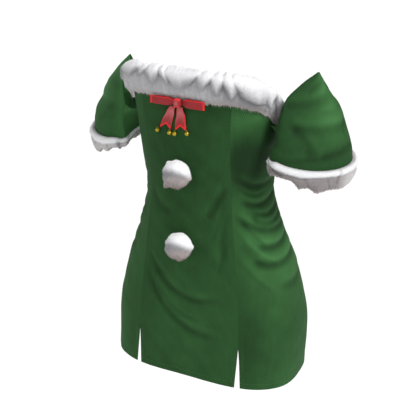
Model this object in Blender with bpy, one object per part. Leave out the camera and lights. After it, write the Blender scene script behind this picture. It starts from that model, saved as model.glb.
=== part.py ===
"""A short green off-shoulder party dress with white fur trim, worn form, in metres.

The dress hangs round an empty hollow. +Z is up, the front faces -Y and the wearer's left is +X.
The origin is the middle of the neckline, where the wearer holds the dress up.
Heights in the tables are above the hem, and LIFT brings them into this frame.
"""

import math

import bmesh
import bpy
import numpy as np

# Driving dimensions, in metres.
ORIGIN_HEIGHT = 0.545
LIFT = -ORIGIN_HEIGHT
CLOTH = 0.0016
SEAM_GAP = 0.0003
SEAT = 0.0004
SLIT_HEIGHT = 0.078
SLIT_HALF_WIDTH = 0.0048
HEM_FRONT = 0.0025
HEM_SIDE_DROP = 0.0075
HEM_SHAPED_TO = 0.150

# The body of the dress: one row for each level above the hem.
BODY_COLUMNS = ("height", "half_width", "half_depth", "centre_y", "seam_x", "squareness")
BODY = (
    (0.000, 0.1950, 0.1200, 0.0000, 0.1090, 2.8),
    (0.080, 0.1960, 0.1205, 0.0060, 0.1078, 2.7),
    (0.200, 0.1750, 0.1160, 0.0070, 0.1005, 2.4),
    (0.290, 0.1415, 0.1100, 0.0000, 0.0905, 2.3),
    (0.370, 0.1215, 0.1020, -0.0045, 0.0825, 2.3),
    (0.450, 0.1285, 0.1070, -0.0045, 0.0825, 2.4),
    (0.620, 0.1440, 0.1155, -0.0045, 0.0944, 2.8),
)

# The middle of the neck band dips from the front over the sides to the back, and leans a little.
NECK_FRONT = 0.583
NECK_BACK = 0.4970
NECK_DIP_STARTS_Y = -0.125
NECK_DIP_ENDS_Y = 0.075
NECK_LEAN = -0.035
CLOTH_ABOVE_NECK = 0.019

# Neck fur: a band round the neckline, outside the cloth. It thins where the sleeves pass over it
# and bunches at the front corners.
NECK_FUR_HALF_HEIGHT = 0.0280
NECK_FUR_HALF_HEIGHT_BACK = 0.0250
NECK_FUR_DEPTH = 0.0170
NECK_FUR_DEPTH_UNDER_SLEEVE = 0.0095
THIN_FUR_STARTS = math.radians(38)
THIN_FUR_IS_FULL = math.radians(19)
CORNER_BUNCH_ANGLE = math.radians(34)
CORNER_BUNCH_SPREAD = math.radians(11)
CORNER_BUNCH_DEPTH = 0.0065
NECK_LUMPS = 38
NECK_LUMP_DEPTH = 0.0035
NECK_TOOTH_DEPTH = 0.0035
NECK_SECTIONS = 88
NECK_PROFILE_COLUMNS = ("across", "out")
NECK_PROFILE = (
    (-1.00, 0.00),
    (-1.00, 0.10),
    (-0.70, 0.50),
    (-0.15, 0.86),
    (0.30, 1.00),
    (0.78, 0.80),
    (1.00, 0.35),
    (1.00, 0.00),
)

# Sleeves, for the +X side: one row for each level from the cuff's top edge, 0, to the tip, 1.
CUFF_TOP_HEIGHT = 0.452
TIP_HEIGHT = 0.5915
SLEEVE_X = 0.202
SLEEVE_Y = -0.012
SLEEVE_LONG = 0.079
SLEEVE_SHORT = 0.0411
SLEEVE_TURN = math.radians(45)
SLEEVE_ARC = math.radians(262)
FRONT_EDGE_SPREAD = math.radians(52)
BACK_EDGE_SPREAD = math.radians(45)
# The two arms are held a little differently, so the cuffs' planes differ.
SIDE_COLUMNS = ("name", "side", "lift", "tilt_x", "tilt_y")
SIDES = (
    ("left", 1, 0.0030, -0.38, 0.26),
    ("right", -1, 0.0145, -0.22, 0.30),
)
SLEEVE_COLUMNS = (
    "level", "long_share", "short_share", "shift_x", "shift_y", "front_x", "front_y", "back_x", "back_y",
)
SLEEVE = (
    (-0.15, 1.000, 1.000, 0.0000, 0.0000, 0.146, -0.069, 0.196, 0.052),
    (0.00, 1.000, 1.000, 0.0000, 0.0000, 0.147, -0.069, 0.196, 0.052),
    (0.20, 0.861, 0.902, 0.0054, 0.0038, 0.154, -0.062, 0.184, 0.054),
    (0.40, 0.743, 0.767, 0.0005, 0.0126, 0.154, -0.055, 0.168, 0.062),
    (0.60, 0.543, 0.635, 0.0005, 0.0209, 0.159, -0.051, 0.166, 0.066),
    (0.74, 0.390, 0.500, -0.0040, 0.0260, 0.163, -0.043, 0.172, 0.067),
    (0.87, 0.210, 0.330, -0.0078, 0.0340, 0.174, -0.004, 0.188, 0.042),
    (1.00, 0.025, 0.040, -0.0090, 0.0450, 0.192, 0.032, 0.193, 0.035),
)
SLEEVE_LEVELS = (-0.15, 0.0, 0.065, 0.15, 0.21, 0.28, 0.35, 0.42, 0.53, 0.64, 0.75, 0.86, 0.94, 1.0)
SLEEVE_OUTER_COLUMNS = 20
SLEEVE_STRIP_COLUMNS = 3
SLEEVE_FOLD_COLUMNS = (
    "share_0", "level_0", "share_1", "level_1", "share_2", "level_2", "depth", "half_width",
)
SLEEVE_FOLDS = (
    (0.19, 0.82, 0.26, 0.86, 0.45, 0.95, 0.0016, 0.0085),
    (0.02, 0.69, 0.19, 0.64, 0.51, 0.79, 0.0026, 0.0090),
    (0.12, 0.42, 0.29, 0.38, 0.66, 0.45, 0.0032, 0.0095),
    (0.14, 0.41, 0.23, 0.39, 0.29, 0.07, 0.0020, 0.0100),
    (0.32, 0.14, 0.43, 0.17, 0.62, 0.22, 0.0024, 0.0090),
    (0.60, 0.78, 0.76, 0.72, 0.94, 0.70, 0.0020, 0.0090),
    (0.70, 0.45, 0.82, 0.42, 0.97, 0.50, 0.0026, 0.0095),
    (0.66, 0.20, 0.80, 0.17, 0.96, 0.26, 0.0022, 0.0090),
)
SLEEVE_FOLD_AROUND = 0.30
SLEEVE_FOLD_TALL = 0.14
SLEEVE_EDGE_CALM = 0.08

# Each sleeve's inner side: strips run in to the body and meet at the underarm.
UNDERARM_LEVEL = 0.065
UNDERARM_Y = -0.004
UNDERARM_HALF_WIDTH = 0.005
UNDERARM_WIDENS = 0.14
STRIP_TURNS_IN_BELOW = 0.02
CUFF_INNER_X = 0.1385
CUFF_INNER_Y = -0.0072
FRONT_SEAM_LEAVES_BODY = 0.28
FRONT_EDGE_IS_FREE = 0.42
BACK_SEAM_LEAVES_BODY = 0.065
BACK_EDGE_IS_FREE = 0.28
FREE_EDGE_TURN_X = -0.0012
FREE_EDGE_TURN_Y = 0.0040
STRIP_BOW_X = 0.0040
STRIP_BOW_Y = 0.0024
SLEEVE_KEEPS_OFF_BODY_WITHIN_Y = 0.060

# Cuff fur round each sleeve's bottom edge. It thins beside the body.
CUFF_HEIGHT = 0.033
CUFF_DEPTH = 0.0115
CUFF_LEAST_SHARE = 0.2
CUFF_INNER_SHARE = 0.45
CUFF_TOP_DROP_INSIDE = 0.0060
CUFF_LUMPS = 15
CUFF_LUMP_DEPTH = 0.0022
CUFF_TOOTH_DEPTH = 0.005
CUFF_PROFILE_COLUMNS = ("down", "out")
CUFF_PROFILE = (
    (0.02, 0.50),
    (0.30, 0.92),
    (0.60, 1.00),
    (0.90, 0.80),
    (1.00, 0.30),
)

# Pompoms down the middle of the front panel, pressed flat against it.
POMPOM_RADIUS = 0.0258
POMPOM_LUMP = 0.0014
POMPOM_STANDS_OUT = 0.88
POMPOM_COLUMNS = ("name", "x", "height")
POMPOMS = (
    ("pompom_upper", -0.0040, 0.4225),
    ("pompom_lower", -0.0015, 0.2845),
)

# Ribbon bow and its bells, hung below the neck fur.
RIBBON = 0.0009
KNOT_HEIGHT = 0.5515
BOW_OFF_CLOTH = 0.0068
KNOT_HALF = (0.0073, 0.0050, 0.0077)
KNOT_ROUNDNESS = 0.72
LOOP_COLUMNS = ("name", "end_x", "end_height", "half_end", "half_knot")
LOOPS = (
    ("bow_loop_right", -0.0562, 0.5520, 0.0068, 0.0032),
    ("bow_loop_left", 0.0490, 0.5492, 0.0072, 0.0028),
)
LOOP_WIDENS_FROM = 0.05
LOOP_WIDENS_OVER = 0.31
LOOP_START_X = 0.0006
LOOP_HALF_DEPTH = 0.0038
LOOP_PINCH = 0.30
LOOP_POINTS = 24
TAIL_COLUMNS = (
    "name", "top_x", "left_x", "left_height", "notch_x", "notch_height", "right_x", "right_height", "swing",
)
TAILS = (
    ("bow_tail_right", -0.0104, -0.0468, 0.4982, -0.0324, 0.5074, -0.0238, 0.4972, -0.0028),
    ("bow_tail_left", 0.0037, -0.0143, 0.4966, -0.0037, 0.5063, 0.0078, 0.4984, -0.0018),
)
TAIL_ROWS = 7
TAIL_TOP_HEIGHT = 0.5434
TAIL_TOP_RISES = 0.05
TAIL_TOP_FORWARD = 0.0062
TAIL_TOP_HALF_WIDTH = 0.0048
TAIL_BELLY = 0.0012
TAIL_OFF_CLOTH = 0.0026
TAIL_WAVE = 0.0010
TAIL_MEETS_CLOTH = 0.45
BELL_RADIUS = 0.0042
BELL_COLUMNS = ("name", "x", "height")
BELLS = (
    ("bell_1", -0.0499, 0.4938),
    ("bell_2", -0.0243, 0.4924),
    ("bell_3", -0.0138, 0.4918),
    ("bell_4", 0.0109, 0.4950),
)

# Folds of the body: start, middle and end as angle round the body (degrees) and height.
FOLD_COLUMNS = ("angle_0", "height_0", "angle_1", "height_1", "angle_2", "height_2", "depth", "half_width")
FOLD_STEPS = 61
FOLD_RIDGE_SHARE = 0.6
FOLD_RIDGE_ABOVE = 1.5
FOLD_FADE_LENGTH = 0.22
FOLD_LEAST_SHARE = 0.25
SEAM_CALM_WIDTH = 0.12
SEAM_FOLD_SHARE = 0.3
LEFT_SIDE_FOLDS = (
    (-45, 0.420, -33, 0.380, 15, 0.393, 0.0024, 0.0085),
    (-36, 0.368, -17, 0.340, 20, 0.369, 0.0032, 0.0080),
    (-26, 0.344, -8, 0.318, 22, 0.345, 0.0026, 0.0075),
    (-27, 0.338, -17, 0.297, 23, 0.325, 0.0028, 0.0080),
    (-45, 0.345, -18, 0.284, 23, 0.303, 0.0034, 0.0085),
    (-28, 0.282, -10, 0.258, 22, 0.281, 0.0036, 0.0090),
    (-33, 0.256, -20, 0.224, 23, 0.250, 0.0034, 0.0095),
    (-42, 0.290, -32, 0.262, -22, 0.242, 0.0016, 0.0100),
    (-17, 0.199, 3, 0.184, 22, 0.214, 0.0018, 0.0110),
    (46, 0.405, 36, 0.385, 24, 0.388, 0.0022, 0.0085),
    (46, 0.372, 38, 0.345, 25, 0.352, 0.0026, 0.0085),
    (46, 0.338, 36, 0.302, 24, 0.312, 0.0028, 0.0090),
    (46, 0.296, 38, 0.256, 24, 0.268, 0.0028, 0.0100),
)
RIGHT_SIDE_FOLDS = (
    (-135, 0.414, -150, 0.376, -194, 0.386, 0.0024, 0.0085),
    (-144, 0.362, -164, 0.332, -200, 0.364, 0.0030, 0.0085),
    (-136, 0.350, -160, 0.296, -203, 0.318, 0.0034, 0.0085),
    (-152, 0.286, -170, 0.258, -202, 0.284, 0.0034, 0.0090),
    (-147, 0.250, -162, 0.220, -203, 0.246, 0.0030, 0.0100),
    (-143, 0.330, -155, 0.248, -157, 0.190, 0.0018, 0.0100),
    (-226, 0.400, -214, 0.380, -202, 0.384, 0.0022, 0.0085),
    (-226, 0.352, -216, 0.318, -203, 0.328, 0.0026, 0.0090),
    (-226, 0.300, -216, 0.262, -203, 0.272, 0.0026, 0.0100),
)
FRONT_FOLDS = (
    (-127, 0.232, -102, 0.144, -62, 0.173, 0.0026, 0.0095),
    (-131, 0.218, -114, 0.092, -60, 0.095, 0.0026, 0.0100),
    (-131, 0.377, -128, 0.346, -106, 0.333, 0.0014, 0.0100),
    (-48, 0.399, -60, 0.353, -68, 0.334, 0.0018, 0.0100),
    (-47, 0.351, -56, 0.303, -54, 0.251, 0.0016, 0.0100),
)
BACK_FOLDS = (
    (132, 0.398, 90, 0.352, 48, 0.404, 0.0024, 0.0110),
    (131, 0.352, 92, 0.292, 49, 0.346, 0.0028, 0.0120),
    (130, 0.300, 88, 0.214, 50, 0.306, 0.0026, 0.0130),
)

# Rows of the panels, from the hem up: top of each stretch and its number of rows.
PANEL_TOP = 0.597
PLAIN_ROWS = ((SLIT_HEIGHT, 4), (0.180, 5), (0.450, 15), (PANEL_TOP, 6))
FOLDED_ROWS = ((SLIT_HEIGHT, 4), (0.165, 4), (0.450, 26), (PANEL_TOP, 6))
FRONT_COLUMNS = 15
BACK_COLUMNS = 14
SIDE_PANEL_COLUMNS = 17

COLOURS = {
    "green_cloth": ((0.030, 0.105, 0.032), 0.82, 0.0),
    "white_fur": ((0.86, 0.86, 0.87), 0.95, 0.0),
    "red_ribbon": ((0.55, 0.018, 0.022), 0.38, 0.0),
    "gold_bell": ((0.85, 0.62, 0.10), 0.28, 1.0),
}


def named_rows(table, columns):
    return [dict(zip(columns, row)) for row in table]


def column(table, columns, name):
    return np.array([row[columns.index(name)] for row in table], float)


def smooth_curve(xs, ys):
    """A monotone cubic through the table's points, as a function."""
    steps = np.diff(xs)
    slopes = np.diff(ys) / steps
    tangents = np.zeros(len(xs))
    for i in range(1, len(xs) - 1):
        before, after = slopes[i - 1], slopes[i]
        if before * after > 0:
            w0 = 2 * steps[i] + steps[i - 1]
            w1 = steps[i] + 2 * steps[i - 1]
            tangents[i] = (w0 + w1) / (w0 / before + w1 / after)
    tangents[0], tangents[-1] = slopes[0], slopes[-1]

    def value(x):
        x = np.clip(np.asarray(x, float), xs[0], xs[-1])
        i = np.clip(np.searchsorted(xs, x, side="right") - 1, 0, len(steps) - 1)
        t = (x - xs[i]) / steps[i]
        a = (1 + 2 * t) * (1 - t) ** 2 * ys[i] + t * (1 - t) ** 2 * steps[i] * tangents[i]
        b = t * t * (3 - 2 * t) * ys[i + 1] + t * t * (t - 1) * steps[i] * tangents[i + 1]
        return a + b

    return value


def curves(table, columns):
    first = column(table, columns, columns[0])
    return {name: smooth_curve(first, column(table, columns, name)) for name in columns[1:]}


def ease(t):
    t = np.clip(t, 0, 1)
    return t * t * (3 - 2 * t)


def unit(vectors):
    return vectors / np.linalg.norm(vectors, axis=-1, keepdims=True)


BODY_AT = curves(BODY, BODY_COLUMNS)
SLEEVE_AT = curves(SLEEVE, SLEEVE_COLUMNS)


def body_point(angle, height):
    """A point of the body's outer face, with no folds, at an angle round the body in radians."""
    wide, deep = BODY_AT["half_width"](height), BODY_AT["half_depth"](height)
    power = BODY_AT["squareness"](height)
    radius = (np.abs(np.cos(angle) / wide) ** power + np.abs(np.sin(angle) / deep) ** power) ** (-1 / power)
    y = BODY_AT["centre_y"](height) + radius * np.sin(angle)
    return np.stack(np.broadcast_arrays(radius * np.cos(angle), y, height), -1)


def body_normal(angle, height):
    small = 1e-4
    round_it = body_point(angle + small, height) - body_point(angle - small, height)
    up_it = body_point(angle, height + small) - body_point(angle, height - small)
    return unit(np.cross(round_it, up_it))


def seam_angle(height):
    """The angle of the seam at the front corner of the +X side, as a positive number from the X axis."""
    x = BODY_AT["seam_x"](height)
    share = x / BODY_AT["half_width"](height)
    power = BODY_AT["squareness"](height)
    y = BODY_AT["half_depth"](height) * (1 - share**power) ** (1 / power)
    return np.arctan2(y, x)


def neck_height_at(angle):
    """The height of the middle of the neck band."""
    x, y = np.moveaxis(body_point(angle, NECK_FRONT)[..., :2], -1, 0)
    dip = ease((y - NECK_DIP_STARTS_Y) / (NECK_DIP_ENDS_Y - NECK_DIP_STARTS_Y))
    return NECK_FRONT - (NECK_FRONT - NECK_BACK) * dip + NECK_LEAN * x


def fold_route(fold, across, up):
    """Points of a fold's line: a curve from its start to its end, drawn towards its middle place."""
    t = np.linspace(0, 1, FOLD_STEPS)
    shares = (1 - t) ** 2, 2 * t * (1 - t), t * t
    return [sum(share * fold[f"{name}_{i}"] for i, share in enumerate(shares)) for name in (across, up)]


def fold_relief(offset, upper_side, half_width):
    """A trough along a fold's line and a soft ridge on its upper side, from offsets to the line's points."""
    gap = np.linalg.norm(offset, axis=-1)
    nearest = gap.argmin(-1)[..., None]
    distance = np.take_along_axis(gap, nearest, -1)[..., 0] / half_width
    side = np.take_along_axis((offset * upper_side).sum(-1), nearest, -1)[..., 0] / half_width
    t = nearest[..., 0] / (FOLD_STEPS - 1)
    fade = ease(np.minimum(t, 1 - t) / FOLD_FADE_LENGTH + FOLD_LEAST_SHARE)
    beyond = np.maximum(distance**2 - side**2, 0)
    ridge = np.exp(-((side - FOLD_RIDGE_ABOVE) ** 2) - beyond)
    return fade * (FOLD_RIDGE_SHARE * ridge - np.exp(-(distance**2)))


def fold_depths(points, folds):
    """How far each point of a panel moves out."""
    moved = np.zeros(points.shape[:2])
    for fold in named_rows(folds, FOLD_COLUMNS):
        angle, height = fold_route(fold, "angle", "height")
        angle = np.radians(angle)
        route = body_point(angle, height)
        upper_side = unit(np.cross(body_normal(angle, height), np.gradient(route, axis=0)))
        upper_side = upper_side * math.copysign(1, fold["angle_2"] - fold["angle_0"])
        offset = points[..., None, :] - route
        moved += fold["depth"] * fold_relief(offset, upper_side, fold["half_width"])
    return moved


def grid_normals(points):
    down = np.gradient(points, axis=0)
    across = np.gradient(points, axis=1)
    return unit(np.cross(across, down))


def material(name, key):
    colour, roughness, metallic = COLOURS[key]
    made = bpy.data.materials.new(name)
    made.use_nodes = True
    shader = made.node_tree.nodes["Principled BSDF"]
    shader.inputs["Base Color"].default_value = (*colour, 1)
    shader.inputs["Roughness"].default_value = roughness
    shader.inputs["Metallic"].default_value = metallic
    return made


def add_object(name, points, faces, key):
    """A closed mesh as a named object, in the dress's frame, with its faces turned out."""
    points = np.asarray(points, float).reshape(-1, 3) + (0, 0, LIFT)
    mesh = bpy.data.meshes.new(name)
    mesh.from_pydata(points.tolist(), [], [list(map(int, face)) for face in faces])
    work = bmesh.new()
    work.from_mesh(mesh)
    bmesh.ops.triangulate(work, faces=work.faces, quad_method="SHORT_EDGE")
    bmesh.ops.recalc_face_normals(work, faces=work.faces)
    if work.calc_volume(signed=True) < 0:
        bmesh.ops.reverse_faces(work, faces=work.faces)
    work.to_mesh(mesh)
    work.free()
    mesh.shade_smooth()
    mesh.set_sharp_from_angle(angle=math.radians(50))
    made = bpy.data.objects.new(name, mesh)
    mesh.materials.append(material(name + "_finish", key))
    bpy.context.scene.collection.objects.link(made)
    return made


def shell_faces(rows, columns, present, closed):
    """Faces of a wall between an outer and an inner grid, with rims round every open edge."""
    layer = rows * columns
    faces = []

    def vertex(i, j, inner):
        return inner * layer + i * columns + j % columns

    def there(i, j):
        if closed:
            j = j % present.shape[1]
        inside = 0 <= i < present.shape[0] and 0 <= j < present.shape[1]
        return inside and present[i, j]

    for i in range(present.shape[0]):
        for j in range(present.shape[1]):
            if not present[i, j]:
                continue
            a, b, c, d = (i, j), (i, j + 1), (i + 1, j + 1), (i + 1, j)
            faces.append([vertex(*p, 0) for p in (a, b, c, d)])
            faces.append([vertex(*p, 1) for p in (d, c, b, a)])
            sides = ((a, b, (i - 1, j)), (b, c, (i, j + 1)), (c, d, (i + 1, j)), (d, a, (i, j - 1)))
            for start, end, neighbour in sides:
                if not there(*neighbour):
                    faces.append([vertex(*end, 0), vertex(*start, 0), vertex(*start, 1), vertex(*end, 1)])
    return faces


def add_shell(name, outer, inner, key, present=None, closed=False):
    rows, columns = outer.shape[:2]
    if present is None:
        present = np.ones((rows - 1, columns if closed else columns - 1), bool)
    faces = shell_faces(rows, columns, present, closed)
    points = np.concatenate([outer.reshape(-1, 3), inner.reshape(-1, 3)])
    used = np.unique(np.concatenate([np.array(face) for face in faces]))
    index = np.full(len(points), -1)
    index[used] = np.arange(len(used))
    return add_object(name, points[used], [index[face] for face in faces], key)


def add_ring(name, loops, key):
    """A closed ring: loops is (sections, points of a section, 3)."""
    sections, size = loops.shape[:2]
    faces = []
    for i in range(sections):
        for j in range(size):
            after, beside = (i + 1) % sections, (j + 1) % size
            faces.append([i * size + j, i * size + beside, after * size + beside, after * size + j])
    return add_object(name, loops, faces, key)


def levels(steps):
    """Heights for the rows of a panel, from (top of the stretch, number of rows) pairs."""
    found = [0.0]
    for top, count in steps:
        found += list(found[-1] + (top - found[-1]) * np.arange(1, count + 1) / count)
    return np.array(found)


def panel_surface(start, end, rows, columns, slit_start=0, slit_end=0):
    """Angle and height of a panel's grid between two seams, each a function from height to angle."""
    share = np.linspace(0, 1, columns)[None, :]
    level = levels(rows)[:, None]
    height = level * np.ones((1, columns))
    for _ in range(3):
        angle = start(height) * (1 - share) + end(height) * share
        top = neck_height_at(start(PANEL_TOP) * (1 - share) + end(PANEL_TOP) * share) + CLOTH_ABOVE_NECK
        height = level / PANEL_TOP * top
    radius = np.linalg.norm(body_point(angle, height)[..., :2], axis=-1)
    opening = np.clip(1 - height / SLIT_HEIGHT, 0, 1) * SLIT_HALF_WIDTH
    near_start = (SEAM_GAP / 2 + slit_start * opening) / radius
    near_end = (SEAM_GAP / 2 + slit_end * opening) / radius
    angle = angle + near_start * (1 - share) - near_end * share
    hem = HEM_FRONT - HEM_SIDE_DROP * np.cos(angle) ** 2
    height = height + hem * np.clip(1 - height / HEM_SHAPED_TO, 0, 1)
    return angle, height


def add_panel(name, start, end, rows, columns, folds, **slits):
    angle, height = panel_surface(start, end, rows, columns, **slits)
    base = body_point(angle, height)
    normal = body_normal(angle, height)
    share = np.linspace(0, 1, columns)[None, :]
    from_seam = ease(np.minimum(share, 1 - share) / SEAM_CALM_WIDTH)
    fold_share = SEAM_FOLD_SHARE + (1 - SEAM_FOLD_SHARE) * from_seam
    outer = base + normal * (fold_depths(base, folds) * fold_share)[..., None]
    add_shell(name, outer, outer - normal * CLOTH, "green_cloth")


def add_body():
    def front_left(height):
        return -seam_angle(height)

    def front_right(height):
        return -math.pi + seam_angle(height)

    def back_left(height):
        return seam_angle(height)

    def back_right(height):
        return -math.pi - seam_angle(height)

    def back_right_after(height):
        return math.pi - seam_angle(height)

    front = (front_right, front_left, PLAIN_ROWS, FRONT_COLUMNS, FRONT_FOLDS)
    left = (front_left, back_left, FOLDED_ROWS, SIDE_PANEL_COLUMNS, LEFT_SIDE_FOLDS)
    right = (back_right, front_right, FOLDED_ROWS, SIDE_PANEL_COLUMNS, RIGHT_SIDE_FOLDS)
    back = (back_left, back_right_after, PLAIN_ROWS, BACK_COLUMNS, BACK_FOLDS)
    add_panel("front_panel", *front, slit_start=1, slit_end=1)
    add_panel("side_panel_left", *left, slit_start=1)
    add_panel("side_panel_right", *right, slit_end=1)
    add_panel("back_panel", *back)


def front_face_y(x, height):
    """The front panel's outer face, with no folds, at a place seen from the front."""
    wide, deep = BODY_AT["half_width"](height), BODY_AT["half_depth"](height)
    power = BODY_AT["squareness"](height)
    share = np.clip(np.abs(x) / wide, 0, 0.98)
    return BODY_AT["centre_y"](height) - deep * (1 - share**power) ** (1 / power)


def add_neck_fur():
    """A lumpy band: each section is a half round against the cloth, with a toothed lower edge."""
    turn = np.linspace(0, 2 * math.pi, NECK_SECTIONS, endpoint=False)
    middle = neck_height_at(turn)
    from_side = np.abs(np.arctan2(np.sin(turn), np.abs(np.cos(turn))))
    thin = ease((THIN_FUR_STARTS - from_side) / (THIN_FUR_STARTS - THIN_FUR_IS_FULL))
    front = np.sin(turn) < 0
    bunch = front * np.exp(-(((from_side - CORNER_BUNCH_ANGLE) / CORNER_BUNCH_SPREAD) ** 2))
    lump = np.abs(np.sin(turn * NECK_LUMPS / 2))
    depth = NECK_FUR_DEPTH - (NECK_FUR_DEPTH - NECK_FUR_DEPTH_UNDER_SLEEVE) * thin
    depth = depth + CORNER_BUNCH_DEPTH * bunch - NECK_LUMP_DEPTH * (1 - lump) * (1 - thin / 2)
    half = np.where(front, NECK_FUR_HALF_HEIGHT, NECK_FUR_HALF_HEIGHT_BACK)
    half = NECK_FUR_HALF_HEIGHT_BACK + (half - NECK_FUR_HALF_HEIGHT_BACK) * ease(2 * np.abs(np.sin(turn)))
    tooth = NECK_TOOTH_DEPTH * (1 - np.abs(np.sin(turn * NECK_LUMPS / 2 + 0.9)))
    loops = []
    for place in named_rows(NECK_PROFILE, NECK_PROFILE_COLUMNS):
        height = middle + place["across"] * half - (tooth if place["across"] == -1 else 0)
        at = body_point(turn, height)
        out = SEAT + depth * place["out"]
        loops.append(at + body_normal(turn, height) * out[:, None])
    add_ring("neck_fur", np.stack(loops, 1), "white_fur")


def sleeve_height(level, x, y, arm):
    """The height of a level at a place: it leans at the cuff as that arm does, and is flat at the tip."""
    x = x - SLEEVE_X - float(SLEEVE_AT["shift_x"](level))
    y = y - SLEEVE_Y - float(SLEEVE_AT["shift_y"](level))
    lean = arm["lift"] + arm["tilt_x"] * x + arm["tilt_y"] * y
    return CUFF_TOP_HEIGHT + (TIP_HEIGHT - CUFF_TOP_HEIGHT) * level + lean * (1 - max(level, 0))


def sleeve_row(level, turn, arm):
    """Points round the outside of the sleeve at one level, from the front edge to the back edge."""
    at = {name: float(SLEEVE_AT[name](level)) for name in SLEEVE_AT}
    along = np.array((math.cos(SLEEVE_TURN), math.sin(SLEEVE_TURN)))
    beside = np.array((-along[1], along[0]))
    offset = at["long_share"] * SLEEVE_LONG * np.cos(turn)[:, None] * along
    offset = offset + at["short_share"] * SLEEVE_SHORT * np.sin(turn)[:, None] * beside
    plan = offset + (SLEEVE_X + at["shift_x"], SLEEVE_Y + at["shift_y"])
    front_gap = np.array((at["front_x"], at["front_y"])) - plan[0]
    back_gap = np.array((at["back_x"], at["back_y"])) - plan[-1]
    near_front = np.exp(-(((turn - turn[0]) / FRONT_EDGE_SPREAD) ** 2))
    near_back = np.exp(-(((turn[-1] - turn) / BACK_EDGE_SPREAD) ** 2))
    plan = plan + near_front[:, None] * front_gap + near_back[:, None] * back_gap
    height = sleeve_height(level, plan[:, 0], plan[:, 1], arm)
    return np.concatenate([plan, height[:, None]], 1)


def body_side_x(y, height):
    """The outer face of the body's +X side at a place seen from that side."""
    wide, deep = BODY_AT["half_width"](height), BODY_AT["half_depth"](height)
    power = BODY_AT["squareness"](height)
    share = np.clip(np.abs(y - BODY_AT["centre_y"](height)) / deep, 0, 0.95)
    return wide * (1 - share**power) ** (1 / power)


def inner_strip(edge, level, towards, arm):
    """Points from a row's edge point in to the body: towards is -1 for the front strip, 1 for the back."""
    leaves = FRONT_SEAM_LEAVES_BODY if towards < 0 else BACK_SEAM_LEAVES_BODY
    free = FRONT_EDGE_IS_FREE if towards < 0 else BACK_EDGE_IS_FREE
    reach = ease((level + STRIP_TURNS_IN_BELOW) / (UNDERARM_LEVEL + STRIP_TURNS_IN_BELOW))
    half = UNDERARM_HALF_WIDTH + UNDERARM_WIDENS * max(level - UNDERARM_LEVEL, 0)
    y = UNDERARM_Y + towards * half + CUFF_INNER_Y * (1 - reach)
    on_body = body_side_x(y, sleeve_height(level, CUFF_INNER_X, y, arm)) + 2 * SEAT
    x = CUFF_INNER_X * (1 - reach) + on_body * reach
    seat = np.array((x, y, sleeve_height(level, x, y, arm)))
    if level > leaves:
        leave = ease((level - leaves) / (free - leaves)) ** 0.6
        turned_in = edge + np.array((FREE_EDGE_TURN_X, -towards * FREE_EDGE_TURN_Y, 0))
        seat = seat * (1 - leave) + turned_in * leave
    share = np.linspace(0, 1, SLEEVE_STRIP_COLUMNS + 1)[1:, None]
    keep = 1 - ease((level - leaves) / (free - leaves))
    bow = np.sin(share * math.pi) * np.array((STRIP_BOW_X, towards * STRIP_BOW_Y, 0))
    return edge * (1 - share) + seat * share + bow * keep


def sleeve_fold_depths(level, share):
    """How far each point of a sleeve's row moves out, with none at its front and back edges."""
    moved = np.zeros(len(share))
    size = np.array((SLEEVE_FOLD_AROUND, SLEEVE_FOLD_TALL))
    points = np.stack([share, np.full(len(share), level)], -1) * size
    for fold in named_rows(SLEEVE_FOLDS, SLEEVE_FOLD_COLUMNS):
        route = np.stack(fold_route(fold, "share", "level"), -1) * size
        ahead = np.gradient(route, axis=0)
        upper_side = unit(np.stack([-ahead[:, 1], ahead[:, 0]], -1))
        moved += fold["depth"] * fold_relief(points[:, None] - route, upper_side, fold["half_width"])
    return moved * ease(np.minimum(share, 1 - share) / SLEEVE_EDGE_CALM)


def sleeve_grid(arm):
    """The outer face of a sleeve on the +X side and its normals, as rows from the cuff up to the tip."""
    size = SLEEVE_OUTER_COLUMNS + 1
    share = np.linspace(0, 1, size)
    turn = math.pi + SLEEVE_ARC * share
    rows = []
    for level in SLEEVE_LEVELS:
        outside = sleeve_row(level, turn, arm)
        back = inner_strip(outside[-1], level, 1, arm)
        front = inner_strip(outside[0], level, -1, arm)[::-1]
        rows.append(np.concatenate([outside, back, front]))
    grid = np.array(rows)
    wrapped = np.concatenate([grid[:, -1:], grid, grid[:, :1]], axis=1)
    normal = grid_normals(wrapped)[:, 1:-1]
    middle = grid[:, :size].mean(axis=1, keepdims=True)
    normal = normal * np.sign(((grid - middle) * normal)[:, :size].sum())
    folds = np.zeros(grid.shape[:2])
    folds[:, :size] = [sleeve_fold_depths(level, share) for level in SLEEVE_LEVELS]
    return grid + normal * folds[..., None], normal


def mirrored(points, side):
    return points * (side, 1, 1)


def add_sleeve(arm):
    """A sleeve closed all round below the underarm, with an open inner side above it."""
    outer, normal = sleeve_grid(arm)
    inner = outer - normal * CLOTH
    for points in (outer, inner):
        floor_x = body_side_x(points[..., 1], points[..., 2]) + SEAT
        near = np.abs(points[..., 1]) < SLEEVE_KEEPS_OFF_BODY_WITHIN_Y
        points[..., 0] = np.where(near, np.maximum(points[..., 0], floor_x), points[..., 0])
    present = np.ones((len(SLEEVE_LEVELS) - 1, outer.shape[1]), bool)
    underarm = SLEEVE_OUTER_COLUMNS + SLEEVE_STRIP_COLUMNS
    for i, level in enumerate(SLEEVE_LEVELS[:-1]):
        if level >= UNDERARM_LEVEL:
            present[i, underarm] = False
        if level >= BACK_EDGE_IS_FREE:
            present[i, SLEEVE_OUTER_COLUMNS:underarm] = False
        if level >= FRONT_EDGE_IS_FREE:
            present[i, underarm:] = False
    outer, inner = mirrored(outer, arm["side"]), mirrored(inner, arm["side"])
    add_shell("sleeve_" + arm["name"], outer, inner, "green_cloth", present, closed=True)


def with_midpoints(line):
    """A closed line with a point added in the middle of each edge, so that it stays on the same facets."""
    between = (line + np.roll(line, -1, axis=0)) / 2
    return np.stack([line, between], 1).reshape(-1, 3)


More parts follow.
